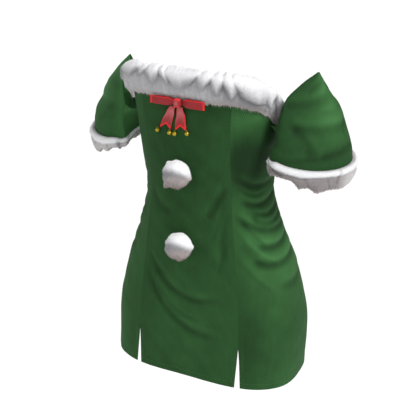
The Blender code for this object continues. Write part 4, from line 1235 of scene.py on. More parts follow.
def sleeve_fold_depths(level, share):
    """How far each point of a sleeve's row moves out, with none at its front and back edges."""
    moved = np.zeros(len(share))
    size = np.array((SLEEVE_FOLD_AROUND, SLEEVE_FOLD_TALL))
    points = np.stack([share, np.full(len(share), level)], -1) * size
    for fold in named_rows(SLEEVE_FOLDS + SLEEVE_CREASES, SLEEVE_FOLD_COLUMNS):
        route = np.stack(fold_route(fold, "share", "level"), -1) * size
        ahead = np.gradient(route, axis=0)
        upper_side = unit(np.stack([-ahead[:, 1], ahead[:, 0]], -1))
        relief = fold_relief(points[:, None] - route, upper_side, CREASE_SHARPNESS * fold["half_width"])
        moved += fold["depth"] * relief
    return moved * ease(np.minimum(share, 1 - share) / SLEEVE_EDGE_CALM)


def sleeve_levels():
    below = np.linspace(SLEEVE_BOTTOM_LEVEL, UNDERARM_LEVEL, SLEEVE_ROWS_BELOW_UNDERARM + 1)
    back = np.linspace(UNDERARM_LEVEL, BACK_EDGE_IS_FREE, SLEEVE_ROWS_TO_BACK_EDGE + 1)[1:]
    front = np.linspace(BACK_EDGE_IS_FREE, FRONT_EDGE_IS_FREE, SLEEVE_ROWS_TO_FRONT_EDGE + 1)[1:]
    above = np.linspace(FRONT_EDGE_IS_FREE, 1, SLEEVE_ROWS_ABOVE + 1)[1:]
    return np.concatenate([below, back, front, above])


def sleeve_grid(arm, rows_at):
    """The outer face of a sleeve on the +X side, its normals and how far its folds move it."""
    size = SLEEVE_OUTER_COLUMNS + 1
    share = np.linspace(0, 1, size)
    turn = math.pi + SLEEVE_ARC * share
    rows = []
    for level in rows_at:
        outside = sleeve_row(level, turn, arm)
        back = inner_strip(outside[-1], level, 1, arm)
        front = inner_strip(outside[0], level, -1, arm)[::-1]
        rows.append(np.concatenate([outside, back, front]))
    grid = np.array(rows)
    wrapped = np.concatenate([grid[:, -1:], grid, grid[:, :1]], axis=1)
    normal = grid_normals(wrapped)[:, 1:-1]
    middle = grid[:, :size].mean(axis=1, keepdims=True)
    normal = normal * np.sign(((grid - middle) * normal)[:, :size].sum())
    folds = np.zeros(grid.shape[:2])
    folds[:, :size] = [sleeve_fold_depths(level, share) for level in rows_at]
    return grid, normal, folds


def mirrored(points, side):
    return points * (side, 1, 1)


def make_sleeve(arm, finish):
    rows_at = sleeve_levels()
    base, normal, folds = sleeve_grid(arm, rows_at)
    folds = folds * SLEEVE_FOLDS_SOFTENED[arm["name"]]
    uneven = waviness(base) * (rows_at > SLEEVE_UNEVEN_ABOVE)[:, None]
    outer = base + normal * (folds + uneven)[..., None]
    inner = outer - normal * CLOTH
    for points in (outer, inner):
        floor_x = body_side_x(points[..., 1], points[..., 2]) + SEAT
        near = np.abs(points[..., 1]) < SLEEVE_KEEPS_OFF_BODY_WITHIN_Y
        points[..., 0] = np.where(near, np.maximum(points[..., 0], floor_x), points[..., 0])
    present = np.ones((len(rows_at) - 1, outer.shape[1]), bool)
    underarm = SLEEVE_OUTER_COLUMNS + SLEEVE_STRIP_COLUMNS
    small = 1e-9
    present[rows_at[:-1] >= UNDERARM_LEVEL - small, underarm] = False
    present[rows_at[:-1] >= BACK_EDGE_IS_FREE - small, SLEEVE_OUTER_COLUMNS:underarm] = False
    present[rows_at[:-1] >= FRONT_EDGE_IS_FREE - small, underarm:] = False
    uv = np.stack([lengths_along(base, 1), lengths_along(base, 0)], -1)
    share = np.linspace(0, 1, SLEEVE_OUTER_COLUMNS + 1)
    # Painted light: a band along the lit outer side, and on the far sleeve's front edge and inner strip in
    # the body's shade.
    lighter = np.zeros(folds.shape)
    painted_light_band = hump(share, SLEEVE_LIGHT_SHARE, SLEEVE_LIGHT_REACH)
    upper = ease((rows_at[:, None] - SLEEVE_LIGHT_FROM) / SLEEVE_LIGHT_OVER)
    lighter[:, : len(share)] = SLEEVE_LIGHTER * painted_light_band * upper
    strip_painted_light = SLEEVE_FRONT_LIGHTER[arm["name"]]
    lighter[:, : len(share)] += 0.5 * strip_painted_light * ease(1 - share / SLEEVE_FRONT_REACH)
    lighter[:, underarm:] += strip_painted_light
    lift = np.clip(SLEEVE_BASE_TONE[arm["name"]] + folds / SLEEVE_TONE_DEPTH + lighter, 0, 1)
    name = "sleeve_cloth_" + arm["name"]
    outer, inner = mirrored(outer, arm["side"]), mirrored(inner, arm["side"])
    piece = make_shell(name, outer, inner, finish, uv, {"lift": lift}, present, closed=True)
    settle(piece, "green_cloth", "sleeve_" + arm["name"])
    # The flat cut counts the strip at the arm's inside too, where the sleeve closes round the arm.
    closed = np.concatenate([base, base[:, :1]], 1)
    _, length, _ = flat_size(base[:, : SLEEVE_OUTER_COLUMNS + 1])
    width, _, _ = flat_size(closed[rows_at < UNDERARM_LEVEL])
    _, _, area = flat_size(closed, present)
    return piece, (width, length, area)


# Fur.


def sample_grid(points, count, random, round_it, round_up=False, share=None):
    """Random places on a grid, even over its area, as row and column numbers with fractions."""
    rows, columns = points.shape[:2]
    last_row = rows if round_up else rows - 1
    last_column = columns if round_it else columns - 1
    i = np.arange(last_row)[:, None]
    j = np.arange(last_column)[None, :]
    after, beside = (i + 1) % rows, (j + 1) % columns
    diagonals = np.cross(points[after, beside] - points[i, j], points[after, j] - points[i, beside])
    area = np.linalg.norm(diagonals, axis=-1)
    if share is not None:
        area = area * share[:last_row, :last_column]
    total = np.cumsum(area.ravel())
    found = np.searchsorted(total, random.random(count) * total[-1])
    found = np.clip(found, 0, area.size - 1)
    row, col = np.divmod(found, last_column)
    return row + random.random(count), col + random.random(count)


def at_place(values, row, col):
    """Values of a grid between its points, going round where the place runs past the end."""
    rows, columns = values.shape[:2]
    i, j = row.astype(int), col.astype(int)
    fi, fj = row - i, col - j
    if values.ndim == 3:
        fi, fj = fi[:, None], fj[:, None]
    after, beside = (i + 1) % rows, (j + 1) % columns
    first = values[i, j] * (1 - fj) + values[i, beside] * fj
    second = values[after, j] * (1 - fj) + values[after, beside] * fj
    return first * (1 - fi) + second * fi


def make_pile(name, kind, grids, finish, random, side=1, **sampled):
    """Fine tapering hairs over a grid, each a bent flat blade of three faces.

    The grids are the points, the ways out, the hairs' flow and length, their painted shade and their warmth.
    """
    hairs = dict(zip(HAIR_COLUMNS, HAIRS[kind]))
    count, width = hairs["count"], hairs["width"]
    row, col = sample_grid(grids[0], count, random, **sampled)
    roots, normals, flow, length, shade, edge = (at_place(grid, row, col) for grid in grids)
    length = (length * random.uniform(hairs["shortest"], hairs["longest"], count))[:, None]
    lift = random.uniform(hairs["flattest"], hairs["steepest"], count)[:, None]
    roots = mirrored(roots - normals * HAIR_SUNK, side)
    normals, flow = mirrored(unit(normals), side), unit(mirrored(flow, side))
    strays = random.normal(0, HAIR_STRAYS, (count, 3))
    start = unit(flow * np.cos(lift) + normals * np.sin(lift) + strays)
    later = unit(start + HAIR_FOLLOWS_FLOW * flow + random.normal(0, HAIR_BENDS, (count, 3)))
    middle = roots + start * 0.5 * length
    tip = middle + later * 0.5 * length
    roll = random.uniform(-HAIR_ROLLS, HAIR_ROLLS, count)[:, None]
    beside = unit(unit(np.cross(start, normals)) * np.cos(roll) + normals * np.sin(roll)) * (width / 2)
    narrow = HAIR_NARROWS * beside
    points = np.stack([roots - beside, roots + beside, middle + narrow, middle - narrow, tip], 1)
    first = np.arange(count)[:, None] * 5
    faces = (first + (0, 1, 2, 3)).tolist() + (first + (3, 2, 4)).tolist()
    along = np.array((0.0, 0.0, 0.5, 0.5, 1.0))
    offset = np.repeat(random.uniform(0, 1, count), 5)
    uv = np.stack([offset, np.tile(along, count) * HAIR_TEXTURE + offset], 1)
    shades = {
        "lift": np.clip(shade[:, None] + HAIR_PALER_TO_TIP * along - HAIR_DARKER_AT_ROOT, 0, 1),
        "edge": np.clip(edge[:, None] * np.ones(5), 0, 1),
    }
    return settle(make_mesh(name, points, faces, finish, uv, shades, sharp=False), "white_fur")


def make_trim(name, outer, back, uv, tones, behind, finish, flipped):
    """A closed band of fur: its face with its painted light and shade and its warmth, and a plain back
    against the cloth.
    """
    points = np.concatenate([outer, back], 1)
    faces = grid_quads(*points.shape[:2], round_it=True, round_up=True)
    filler = np.ones(back.shape[:2])
    pairs = zip(("lift", "edge"), tones, behind)
    shades = {key: np.concatenate([tone, plain * filler], 1) for key, tone, plain in pairs}
    return make_mesh(name, points, faces[:, ::-1] if flipped else faces, finish, uv, shades)


def band_steps(outer):
    """Unit steps round a closed band and across it, and the way that its face looks, or the opposite one."""
    round_step = unit(np.roll(outer, -1, axis=0) - np.roll(outer, 1, axis=0))
    across_step = unit(np.gradient(outer, axis=1))
    return round_step, across_step, unit(np.cross(round_step, across_step))


def clump_field(place, across, clumps):
    """Broad clumps of pile between creases, which end at an uneven lower line with points and rounds.

    The result is the height of the lower line at each place, how near each point is to a crease, how far
    it is to one side of its clump, from -1 to 1, and which side of that clump is in shade.
    """
    rows = sorted(clumps)
    crease, crease_at, tip, tip_at, power, shaded = (np.array(values, float) for values in zip(*rows))
    crease = np.append(crease, crease[0] + 360)
    crease_at = np.append(crease_at, crease_at[0])
    leaned = place - CLUMP_LEAN * np.sin(0.11 * place + 1.0) * np.maximum(across - 0.1, 0)
    leaned = (leaned - crease[0]) % 360 + crease[0]
    k = np.clip(np.searchsorted(crease, leaned, side="right") - 1, 0, len(rows) - 1)
    before = leaned < tip[k]
    rising = np.where(before, leaned - crease[k], crease[k + 1] - leaned)
    share = np.clip(rising / np.where(before, tip[k] - crease[k], crease[k + 1] - tip[k]), 0, 1)
    side_at = np.where(before, crease_at[k], crease_at[k + 1])
    lower = side_at + (tip_at[k] - side_at) * share ** power[k]
    valley = hump(rising, 0, CLUMP_CREASE_REACH)
    return lower, valley, np.where(before, share - 1, 1 - share), shaded[k]


def neck_clumps(random):
    """The clumps that show, and others like them round the rest of the neck."""
    found = [*NECK_CLUMPS]
    first = NECK_CLUMPS[-1][2] + 6.0
    last = NECK_CLUMPS[0][0] + 360
    count = round((last - first) / NECK_CLUMP_SPACING)
    spacing = (last - first) / count
    for i in range(count):
        crease = first + spacing * (i + random.uniform(-0.14, 0.14) * (i > 0))
        tip = crease + spacing * random.uniform(0.40, 0.62)
        heights = random.uniform(0.05, 0.42), random.uniform(-0.42, -0.02)
        shaded = 1 if random.random() < 0.6 else -1
        found.append((crease, heights[0], tip, heights[1], random.choice((0.4, 0.9, 1.0, 1.1)), shaded))
    return found


def ragged_line(along, period, spacing, depth, random):
    """An uneven row of small teeth: how far each place of a closed line reaches down."""
    count = round(period / spacing)
    centres = (np.arange(count) + random.uniform(-0.35, 0.35, count)) * period / count
    depths = depth * random.uniform(0.25, 1.0, count)
    halves = spacing * random.uniform(0.35, 0.75, count)
    found = np.zeros(np.shape(along))
    for centre, deep, half in zip(centres, depths, halves):
        gap = np.abs((along - centre + period / 2) % period - period / 2)
        found = np.maximum(found, deep * np.clip(1 - gap / half, 0, 1))
    return found


def neck_band(turn):
    """The height of the band's middle, half its height and its depth, at each turn round the neck."""
    from_side = np.abs(np.arctan2(np.sin(turn), np.abs(np.cos(turn))))
    thin = ease((THIN_FUR_STARTS - from_side) / (THIN_FUR_STARTS - THIN_FUR_IS_FULL))
    front = np.sin(turn) < 0
    bunch = front * hump(from_side, CORNER_BUNCH_ANGLE, CORNER_BUNCH_SPREAD)
    depth = NECK_FUR_DEPTH - (NECK_FUR_DEPTH - NECK_FUR_DEPTH_UNDER_SLEEVE) * thin
    half = np.where(front, NECK_FUR_HALF_HEIGHT, NECK_FUR_HALF_HEIGHT_BACK)
    half = NECK_FUR_HALF_HEIGHT_BACK + (half - NECK_FUR_HALF_HEIGHT_BACK) * ease(2 * np.abs(np.sin(turn)))
    return neck_height_at(turn), half, depth + CORNER_BUNCH_DEPTH * bunch


def neck_edges(turn, valley, random):
    """How far the band's lower and upper edges stand above those of an even band."""
    degrees = np.degrees(turn)
    lower = sum(ragged_line(degrees, 360, spacing, deep, random) for spacing, deep in NECK_TEETH)
    lower = NECK_EDGE_LIFT - lower
    for place, half_width, length in NECK_TUFTS:
        apart = np.abs((degrees - place + 180) % 360 - 180)
        lower = lower - length * np.clip(1 - apart / half_width, 0, 1) ** 0.8
    upper = ragged_line(degrees, 360, *NECK_TOP_TEETH, random) - NECK_TOP_DIP * valley[:, -1:]
    return lower, upper + NECK_TOP_WAVE * np.sin(turn * 13 + 0.7) * np.sin(turn * 5)


def clump_relief(across, field, ripple):
    """How far the band stands out, as a share of its depth.

    It comes with how far each place is above its clump's lower line, and how the clumps fade to the top.
    """
    lower, valley, aside, shaded = field
    above = ease((across - lower) / CLUMP_STEP + 0.5)
    fade = ease(1.05 - (across - lower) / CLUMP_FADES_OVER) * ease((1.0 - across) / CLUMP_FADES_TO_TOP)
    ridged = (CLUMP_RIDGE * np.abs(aside) + CLUMP_TILT * shaded * aside) * (0.3 + 0.7 * fade)
    crown = 1 - CLUMP_CREASE_DEPTH * valley * fade - ridged
    skirt = SKIRT_DEPTH + SKIRT_RIPPLE * ease((lower - across) / 0.5) * ripple - SKIRT_CREASE * valley
    envelope = np.clip(1 - np.abs(np.clip(across, -0.75, 1)) ** 3.4, 0, 1) ** 0.5
    bottom = 1 - 0.55 * ease((-across - 0.6) / 0.4)
    rise = skirt * (1 - above) + crown * above
    return np.maximum(envelope * bottom, 0.12 * (across < 0)) * rise, above, fade


def clump_tones(turn, across, field, ripple, above, fade):
    """Painted light and shade, and warmth: clumps lit on top and on one side, over a skirt in painted shade
    that is also warmer.
    """
    lower, valley, aside, shaded = field
    up_clump = ease((across - lower) / 0.70) + 0.35 * ease((across - 0.25) / 0.5)
    contrast = CLUMP_RIGHT_CONTRAST * ease((np.cos(turn) + 0.25) / 0.9)
    over = CLUMP_TONE - contrast + (CLUMP_TOP_LIGHTER + contrast) * up_clump
    over = over - CLUMP_CREASE_DARKER * valley * fade
    over = over - CLUMP_SHADED_SIDE * ease(shaded * aside / 0.5) * (0.35 + 0.65 * fade)
    under = SKIRT_TONE - SKIRT_RIGHT_DARKER * ease((np.cos(turn) - 0.35) / 0.5)
    under = under + SKIRT_LOW_LIGHTER * ease((lower - across) / 0.40) + SKIRT_RIPPLE_LIGHTER * ripple
    shade = np.clip(under * (1 - above) + over * above, DARKEST_FUR, 1)
    return shade, SKIRT_WARM * np.clip(-across - 0.50, 0, 1) ** 1.3 * (1 - above)


def make_neck_trim(finish):
    random = np.random.default_rng(NECK_SEED)
    turn = full_turn(NECK_SECTIONS)[:, None]
    across = np.linspace(-1, 1, NECK_ACROSS)[None, :]
    middle, half, depth = neck_band(turn)
    field = clump_field(np.degrees(turn), across, neck_clumps(random))
    _, valley, aside, _ = field
    ripple = ragged_line(np.degrees(turn), 360, NECK_RIPPLE_SPACING, 1.0, random)
    relief, above, fade = clump_relief(across, field, ripple)
    lower_edge, upper_edge = neck_edges(turn, valley, random)
    height = middle + across * half
    height = height + lower_edge * np.clip(-across, 0, 1) ** 3 + upper_edge * np.clip(across, 0, 1) ** 3
    all_round = turn * np.ones_like(across)
    normal = body_normal(all_round, height)
    outer = body_point(all_round, height) + normal * (SEAT + depth * relief)[..., None]
    back_share = np.linspace(1, 0, NECK_BACK_ROWS)[None, :]
    back_height = height[:, -1:] * back_share + height[:, :1] * (1 - back_share)
    seated = turn * np.ones_like(back_share)
    back = body_point(seated, back_height) + body_normal(seated, back_height) * (SEAT * 0.9)
    v = np.concatenate([height, back_height], 1)
    uv = np.stack([turn * NECK_RADIUS * np.ones_like(v), v], -1)
    tones = clump_tones(turn, across, field, ripple, above, fade)
    piece = make_trim("neck_trim", outer, back, uv, tones, NECK_BEHIND, finish, flipped=True)
    settle(piece, "white_fur", "neck_fur")
    # Hairs follow the clumps down to their tips, and stand up along the top edge.
    round_step, up_step, surface = band_steps(outer)
    surface = surface * np.sign((surface * normal).sum(-1, keepdims=True))
    upward = ease((across - 0.62) / 0.30)
    inward = 0.7 * aside * (1 - upward) * above
    flow = up_step * (1.6 * upward - 1)[..., None] - round_step * inward[..., None]
    length = NECK_HAIR_LENGTH + NECK_HAIR_LONGER * np.abs(across) * np.ones_like(relief)
    grids = (outer, surface, flow, length, *tones)
    make_pile("neck_trim_pile", "neck", grids, finish, random, round_it=False, round_up=True)


def cuff_lines(arm):
    """The sleeve's bottom edge and the line of the cuff's top, both evenly spaced."""
    base, _, _ = sleeve_grid(arm, (SLEEVE_BOTTOM_LEVEL, 0.0))
    lines = []
    for line in base:
        closed = np.concatenate([line, line[:1]])
        along = line_lengths(closed)
        wanted = np.linspace(0, along[-1], CUFF_AROUND_SAMPLES, endpoint=False)
        lines.append(on_line(closed, along, wanted))
    return lines


def cuff_creases(share, down, arm):
    """How deep the short creases are at each place of a cuff."""
    found = np.zeros(np.broadcast(share, down).shape)
    for crease in named_rows(CUFF_CREASES[arm["name"]], CUFF_CREASE_COLUMNS):
        x = ((share - crease["share_0"] + 0.5) % 1 - 0.5) * CUFF_ROUND
        y = (down - crease["down_0"]) * CUFF_HEIGHT
        end_x = (crease["share_1"] - crease["share_0"]) * CUFF_ROUND
        end_y = (crease["down_1"] - crease["down_0"]) * CUFF_HEIGHT
        along = np.clip((x * end_x + y * end_y) / (end_x**2 + end_y**2), 0, 1)
        gap = np.hypot(x - along * end_x, y - along * end_y)
        found = np.maximum(found, crease["depth"] * hump(gap, 0, CUFF_CREASE_HALF_WIDTH))
    return found


def cuff_relief(share, down, crease):
    """How far the cuff stands out, as a share of its depth.

    It comes with how far each place is below the crease, and how far the rim has turned to the skirt.
    """
    roll = np.sqrt(np.clip(1 - ((down - 0.52 * crease) / (0.60 * crease)) ** 2, 0, 1))
    roll = 1 - CUFF_ROLL + CUFF_ROLL * roll
    below = np.clip((down - crease) / (1 - crease), 0, 1)
    skirt = CUFF_SKIRT + CUFF_SKIRT_SWELLS * (np.sin(math.pi * below) ** 0.8 - below)
    turned = ease((down - crease) / 0.16 + 0.5)
    soft = np.sin(2 * math.pi * (9 * share + 0.4 * down)) * np.sin(2 * math.pi * (4 * share + 0.2))
    envelope = np.clip(np.sin(math.pi * np.clip(down * 0.84 + 0.10, 0, 1)), 0, 1) ** 0.40
    rise = roll * (1 - turned) + skirt * turned
    return envelope * rise * (1 + CUFF_UNEVEN * soft), below, turned


def cuff_tones(share, down, crease, below, turned, dents, name):
    """Painted light and shade, and warmth: a lit rim over a skirt in painted shade that is also warmer, and
    painted shade in the dents.
    """
    over = CUFF_ROLL_TONE[name] - CUFF_RIM_DARKER * ease(2.2 * np.abs(down / crease - 0.42) - 0.25)
    under = CUFF_SKIRT_TONE[name] + CUFF_SKIRT_LIGHTER * (ease(below / 0.35) - ease((below - 0.6) / 0.4))
    under = under + CUFF_OUTER_LIGHTER[name] * stretch(share, *CUFF_LIGHTER_AT)
    softly = ease((down - crease) / 0.36 + 0.45)
    shade = over * (1 - softly) + under * softly - CUFF_DENT_DARKER * dents / CUFF_DARK_CREASE
    shade = shade - CUFF_LINE_DARKER * hump(down, crease, CUFF_LINE_REACH)
    warm = CUFF_SKIRT_WARM * turned + CUFF_EDGE_WARM * ease((down - 0.90) / 0.10)
    return np.clip(shade, DARKEST_FUR, 1), warm


def make_cuff(arm, finish):
    """A rolled rim, a crease that wanders below it, and a hanging edge with a few uneven teeth."""
    name, side = arm["name"], arm["side"]
    random = np.random.default_rng(CUFF_SEEDS[name])
    bottom, top = cuff_lines(arm)
    ahead = np.roll(bottom, -4, axis=0) - np.roll(bottom, 4, axis=0)
    out = unit(np.stack([ahead[:, 1], -ahead[:, 0], np.zeros(len(bottom))], 1))
    out = out * np.sign(((bottom - bottom.mean(0)) * out).sum())
    inside = ease(-2 * out[:, 0])[:, None]
    beside_body = bottom[:, 0] - body_side_x(bottom[:, 1], bottom[:, 2]) - 3 * SEAT
    room = np.clip(beside_body / CUFF_DEPTH, CUFF_LEAST_SHARE, CUFF_INNER_SHARE)[:, None]
    down = np.linspace(0, 1, CUFF_DOWN)[None, :]
    share = np.linspace(0, 1, CUFF_AROUND_SAMPLES, endpoint=False)[:, None]
    flat = stretch(share, *CUFF_FLAT_AT) * CUFF_FLAT_SHARE[name]
    depth = CUFF_DEPTH * (1 - inside * (1 - room)) * (1 - 0.6 * flat)
    crease = CUFF_CREASE * np.ones_like(share)
    for waves, height, start in CUFF_CREASE_WAVES:
        crease = crease + height * np.sin(2 * math.pi * (waves * share + start))
    relief, below, turned = cuff_relief(share, down, crease)
    dents = cuff_creases(share, down, arm)
    out_by = depth * relief + 2 * SEAT - dents * (1 - 0.7 * inside)
    out_by = np.maximum(out_by, 2 * SEAT)
    # The rim is lower at the arm's inside, where the cuff is pressed flat, and at its outer end.
    cloth = np.linalg.norm(bottom - top, axis=1).mean()
    dropped = inside * CUFF_TOP_DROP_INSIDE + CUFF_FLAT_DROP * flat
    dropped = dropped + CUFF_OUTER_DROP[name] * stretch(share, *CUFF_DROP_AT)
    top = top + (bottom - top) * (dropped / cloth)
    places, longer = (column(CUFF_EDGES[name], CUFF_EDGE_COLUMNS, key) for key in CUFF_EDGE_COLUMNS)
    longer = np.interp(share, places, longer, period=1)
    ragged = ragged_line(share * CUFF_ROUND, CUFF_ROUND, *CUFF_TEETH, random)
    step = ((CUFF_HEIGHT - dropped + (longer + ragged) * down) * down / cloth)[..., None]
    outer = top[:, None] * (1 - step) + bottom[:, None] * step + out[:, None] * out_by[..., None]
    back_step = step[:, -1:] * np.linspace(1, 0, CUFF_BACK_ROWS)[None, :, None]
    back = top[:, None] * (1 - back_step) + bottom[:, None] * back_step + out[:, None] * (1.8 * SEAT)
    v = np.linspace(0, 2 * CUFF_HEIGHT, CUFF_DOWN + CUFF_BACK_ROWS)[None, :]
    uv = np.stack(np.broadcast_arrays(share * CUFF_ROUND, v), -1)
    tones = cuff_tones(share, down, crease, below, turned, dents, name)
    trim = "cuff_trim_" + name
    walls = mirrored(outer, side), mirrored(back, side)
    piece = make_trim(trim, *walls, uv, tones, CUFF_BEHIND, finish, flipped=side < 0)
    settle(piece, "white_fur", "cuff_fur_" + name)
    _, down_step, surface = band_steps(outer)
    surface = surface * np.sign((surface * out[:, None]).sum(-1, keepdims=True).mean())
    flow = down_step * (1 - 1.5 * ease((0.12 - down) / 0.12))[..., None]
    grids = (outer, surface, flow, np.full(relief.shape, CUFF_HAIR_LENGTH), *tones)
    make_pile(trim + "_pile", "cuff", grids, finish, random, side, round_it=False, round_up=True)


def make_pompom(ball, finish, seed):
    """A soft ball of pile pressed against the cloth, with a broad parting across it and a few corners."""
    random = np.random.default_rng(seed)
    name = ball["name"]
    middle_y = float(front_face_y(ball["x"], ball["height"])) - POMPOM_STANDS_OUT * POMPOM_RADIUS
    centre = np.array((ball["x"], middle_y, ball["height"]))
    turn, rise, way = ball_ways(POMPOM_AROUND, POMPOM_UP)
    y = way[..., 1]
    clumps = unit(random.normal(0, 1, (POMPOM_CLUMPS, 3)))
    near = np.sort(np.arccos(np.clip(way @ clumps.T, -1, 1)), axis=-1)
    clump = ease((near[..., 1] - near[..., 0]) / 0.34)
    to_left = way @ np.array(TO_SCREEN_RIGHT)
    rises = way @ np.array(TO_SCREEN_TOP)
    parting_at = PARTING_AT - PARTING_SLOPE * to_left - PARTING_CURVE * to_left**2
    parting = hump(rises, parting_at, PARTING_REACH) * ease((0.3 - y) / 0.8)
    corners = np.zeros_like(y)
    for corner in named_rows(POMPOM_CORNERS[name], CORNER_COLUMNS):
        toward = unit(np.array((corner["left"], -corner["forward"], corner["up"])))
        apart = np.arccos(np.clip(way @ toward, -1, 1))
        corners += corner["stands"] * np.clip(1 - apart / CORNER_REACH, 0, 1) ** 1.1
    uneven = POMPOM_CLUMP_STANDS * clump - PARTING_DEPTH * parting
    radius = POMPOM_RADIUS * POMPOM_CORE * (1 + uneven) + corners
    points = centre + way * radius[..., None]
    against = front_face_y(points[..., 0], points[..., 2]) - 2.2 * SEAT
    points[..., 1] = np.minimum(points[..., 1], against)
    # Painted shade below and along the parting, and painted light on the clumps and at the foot.
    low = ease((parting_at + 0.66 - rises) / 0.90)
    shade = POMPOM_TONE + POMPOM_CLUMP_LIGHTER * clump - POMPOM_LOW_DARKER * low - PARTING_DARKER * parting
    shade = shade + POMPOM_FOOT_LIGHTER * ease((parting_at - 0.1 - rises) / 0.5)
    shade = np.clip(shade, DARKEST_FUR, 1)
    warm = POMPOM_WARM * ease((0.10 - rises) / 0.9)
    faces = grid_quads(POMPOM_UP, POMPOM_AROUND, round_it=True)
    uv = np.stack(np.broadcast_arrays(turn * POMPOM_RADIUS, rise * POMPOM_RADIUS), -1)
    piece = make_mesh(name + "_ball", points, faces, finish, uv, {"lift": shade, "edge": warm})
    settle(piece, "white_fur", name)
    flow = np.cross(way, np.array(POMPOM_SWIRL)) + POMPOM_HANGS + 0.2 * way
    grids = (points, way, flow, np.full(y.shape, POMPOM_HAIR_LENGTH), shade, warm)
    hairy = (y < POMPOM_HAIRS_END_Y).astype(float)
    make_pile(name + "_pile", "pompom", grids, finish, random, round_it=True, share=hairy)
    return piece


# Bow and bells.


def bow_y():
    """The back of the bow's loops, in front of the fur's lower edge."""
    return float(front_face_y(0, KNOT_HEIGHT)) - BOW_OFF_CLOTH


def make_knot(finish):
    """A wrap of ribbon drawn in round the loops, with soft gathers that run over it."""
    _, _, way = ball_ways(*KNOT_GRID)
    x, y, z = np.moveaxis(way, -1, 0)
    shape = np.sign(way) * np.abs(way) ** KNOT_ROUNDNESS
    gathers = 1 + KNOT_GATHERS * np.sin(17 * x + 2.0 * z + 0.6) * np.clip(1 - z * z, 0, 1)
    centre = np.array((0, bow_y() - KNOT_HALF[1] - LOOP_HALF_DEPTH - SEAT, KNOT_HEIGHT))
    points = centre + shape * KNOT_HALF * gathers[..., None]
    # Painted highlight, paler and pinker, at the front middle of the knot.
    pale = KNOT_PALE * hump(x, 0, 0.45) * hump(z, 0, 0.5) * (y < 0)
    uv = np.stack([x * KNOT_HALF[0], z * KNOT_HALF[2]], -1)
    faces = grid_quads(*x.shape, round_it=True)
    # Painted highlight in brighter red round the knot's top and bottom.
    edge = ease((np.abs(z) - 0.35) / 0.4)
    piece = make_mesh("bow_knot_wrap", points, faces, finish, uv, {"pale": pale, "edge": edge})
    return settle(piece, "red_ribbon", "bow_knot")


def make_loops(finish):
    """Each loop is a closed band of ribbon, pleated where it enters the knot."""
    points_round, points_across = LOOP_GRID
    turn = full_turn(points_round)
    share = 0.5 - 0.5 * np.cos(turn)
    belly = LOOP_PINCH + (1 - LOOP_PINCH) * np.sin(math.pi * share) ** 0.6
    step = np.linspace(-1, 1, points_across)[:, None]
    found = []
    for loop in named_rows(LOOPS, LOOP_COLUMNS):
        start_x = math.copysign(LOOP_START_X, loop["end_x"])
        x = start_x + (loop["end_x"] - start_x) * share
        y = -np.sin(turn) * LOOP_HALF_DEPTH * belly
        middle = KNOT_HEIGHT + (loop["end_height"] - KNOT_HEIGHT) * share
        widened = ease((share - LOOP_WIDENS_FROM) / LOOP_WIDENS_OVER)
        half = loop["half_knot"] + (loop["half_end"] - loop["half_knot"]) * widened
        ahead_x = (np.roll(x, -1) - np.roll(x, 1)) / 2
        ahead_y = (np.roll(y, -1) - np.roll(y, 1)) / 2
        out = np.stack([ahead_y, -ahead_x], 1) / np.hypot(ahead_x, ahead_y)[:, None]
        out = out * np.sign((out * np.stack([x - x.mean(), y], 1)).sum())
        pleat = LOOP_PLEAT * np.sin(step * 7.5 + 0.8) * np.exp(-share / LOOP_PLEAT_REACH) * (y < 0)
        y = y + bow_y() - LOOP_HALF_DEPTH + RIBBON
        outer = np.stack(np.broadcast_arrays(x, y - pleat, middle + step * half), -1)
        inner = outer.copy()
        inner[..., :2] -= out * RIBBON
        length = np.concatenate([[0], np.cumsum(np.hypot(np.diff(x), np.diff(y)))])
        uv = np.stack(np.broadcast_arrays(length, step * half), -1)
        # Painted highlight in brighter red along the top edge and the folded end.
        edge = np.clip(ease((step - 0.72) / 0.2) + ease((share - 0.90) / 0.08), 0, 1)
        # A faint painted sheen along the middle of each loop.
        pale = LOOP_PALE * hump(share, 0.45, 0.25) * np.ones_like(step)
        shades = {"pale": pale, "edge": edge * np.ones_like(pale)}
        name = loop["name"] + "_ribbon"
        piece = make_shell(name, outer, inner, finish, uv, shades, closed=True)
        settle(piece, "red_ribbon", loop["name"])
        found.append((piece, (2 * loop["half_end"], float(length[-1]))))
    return found


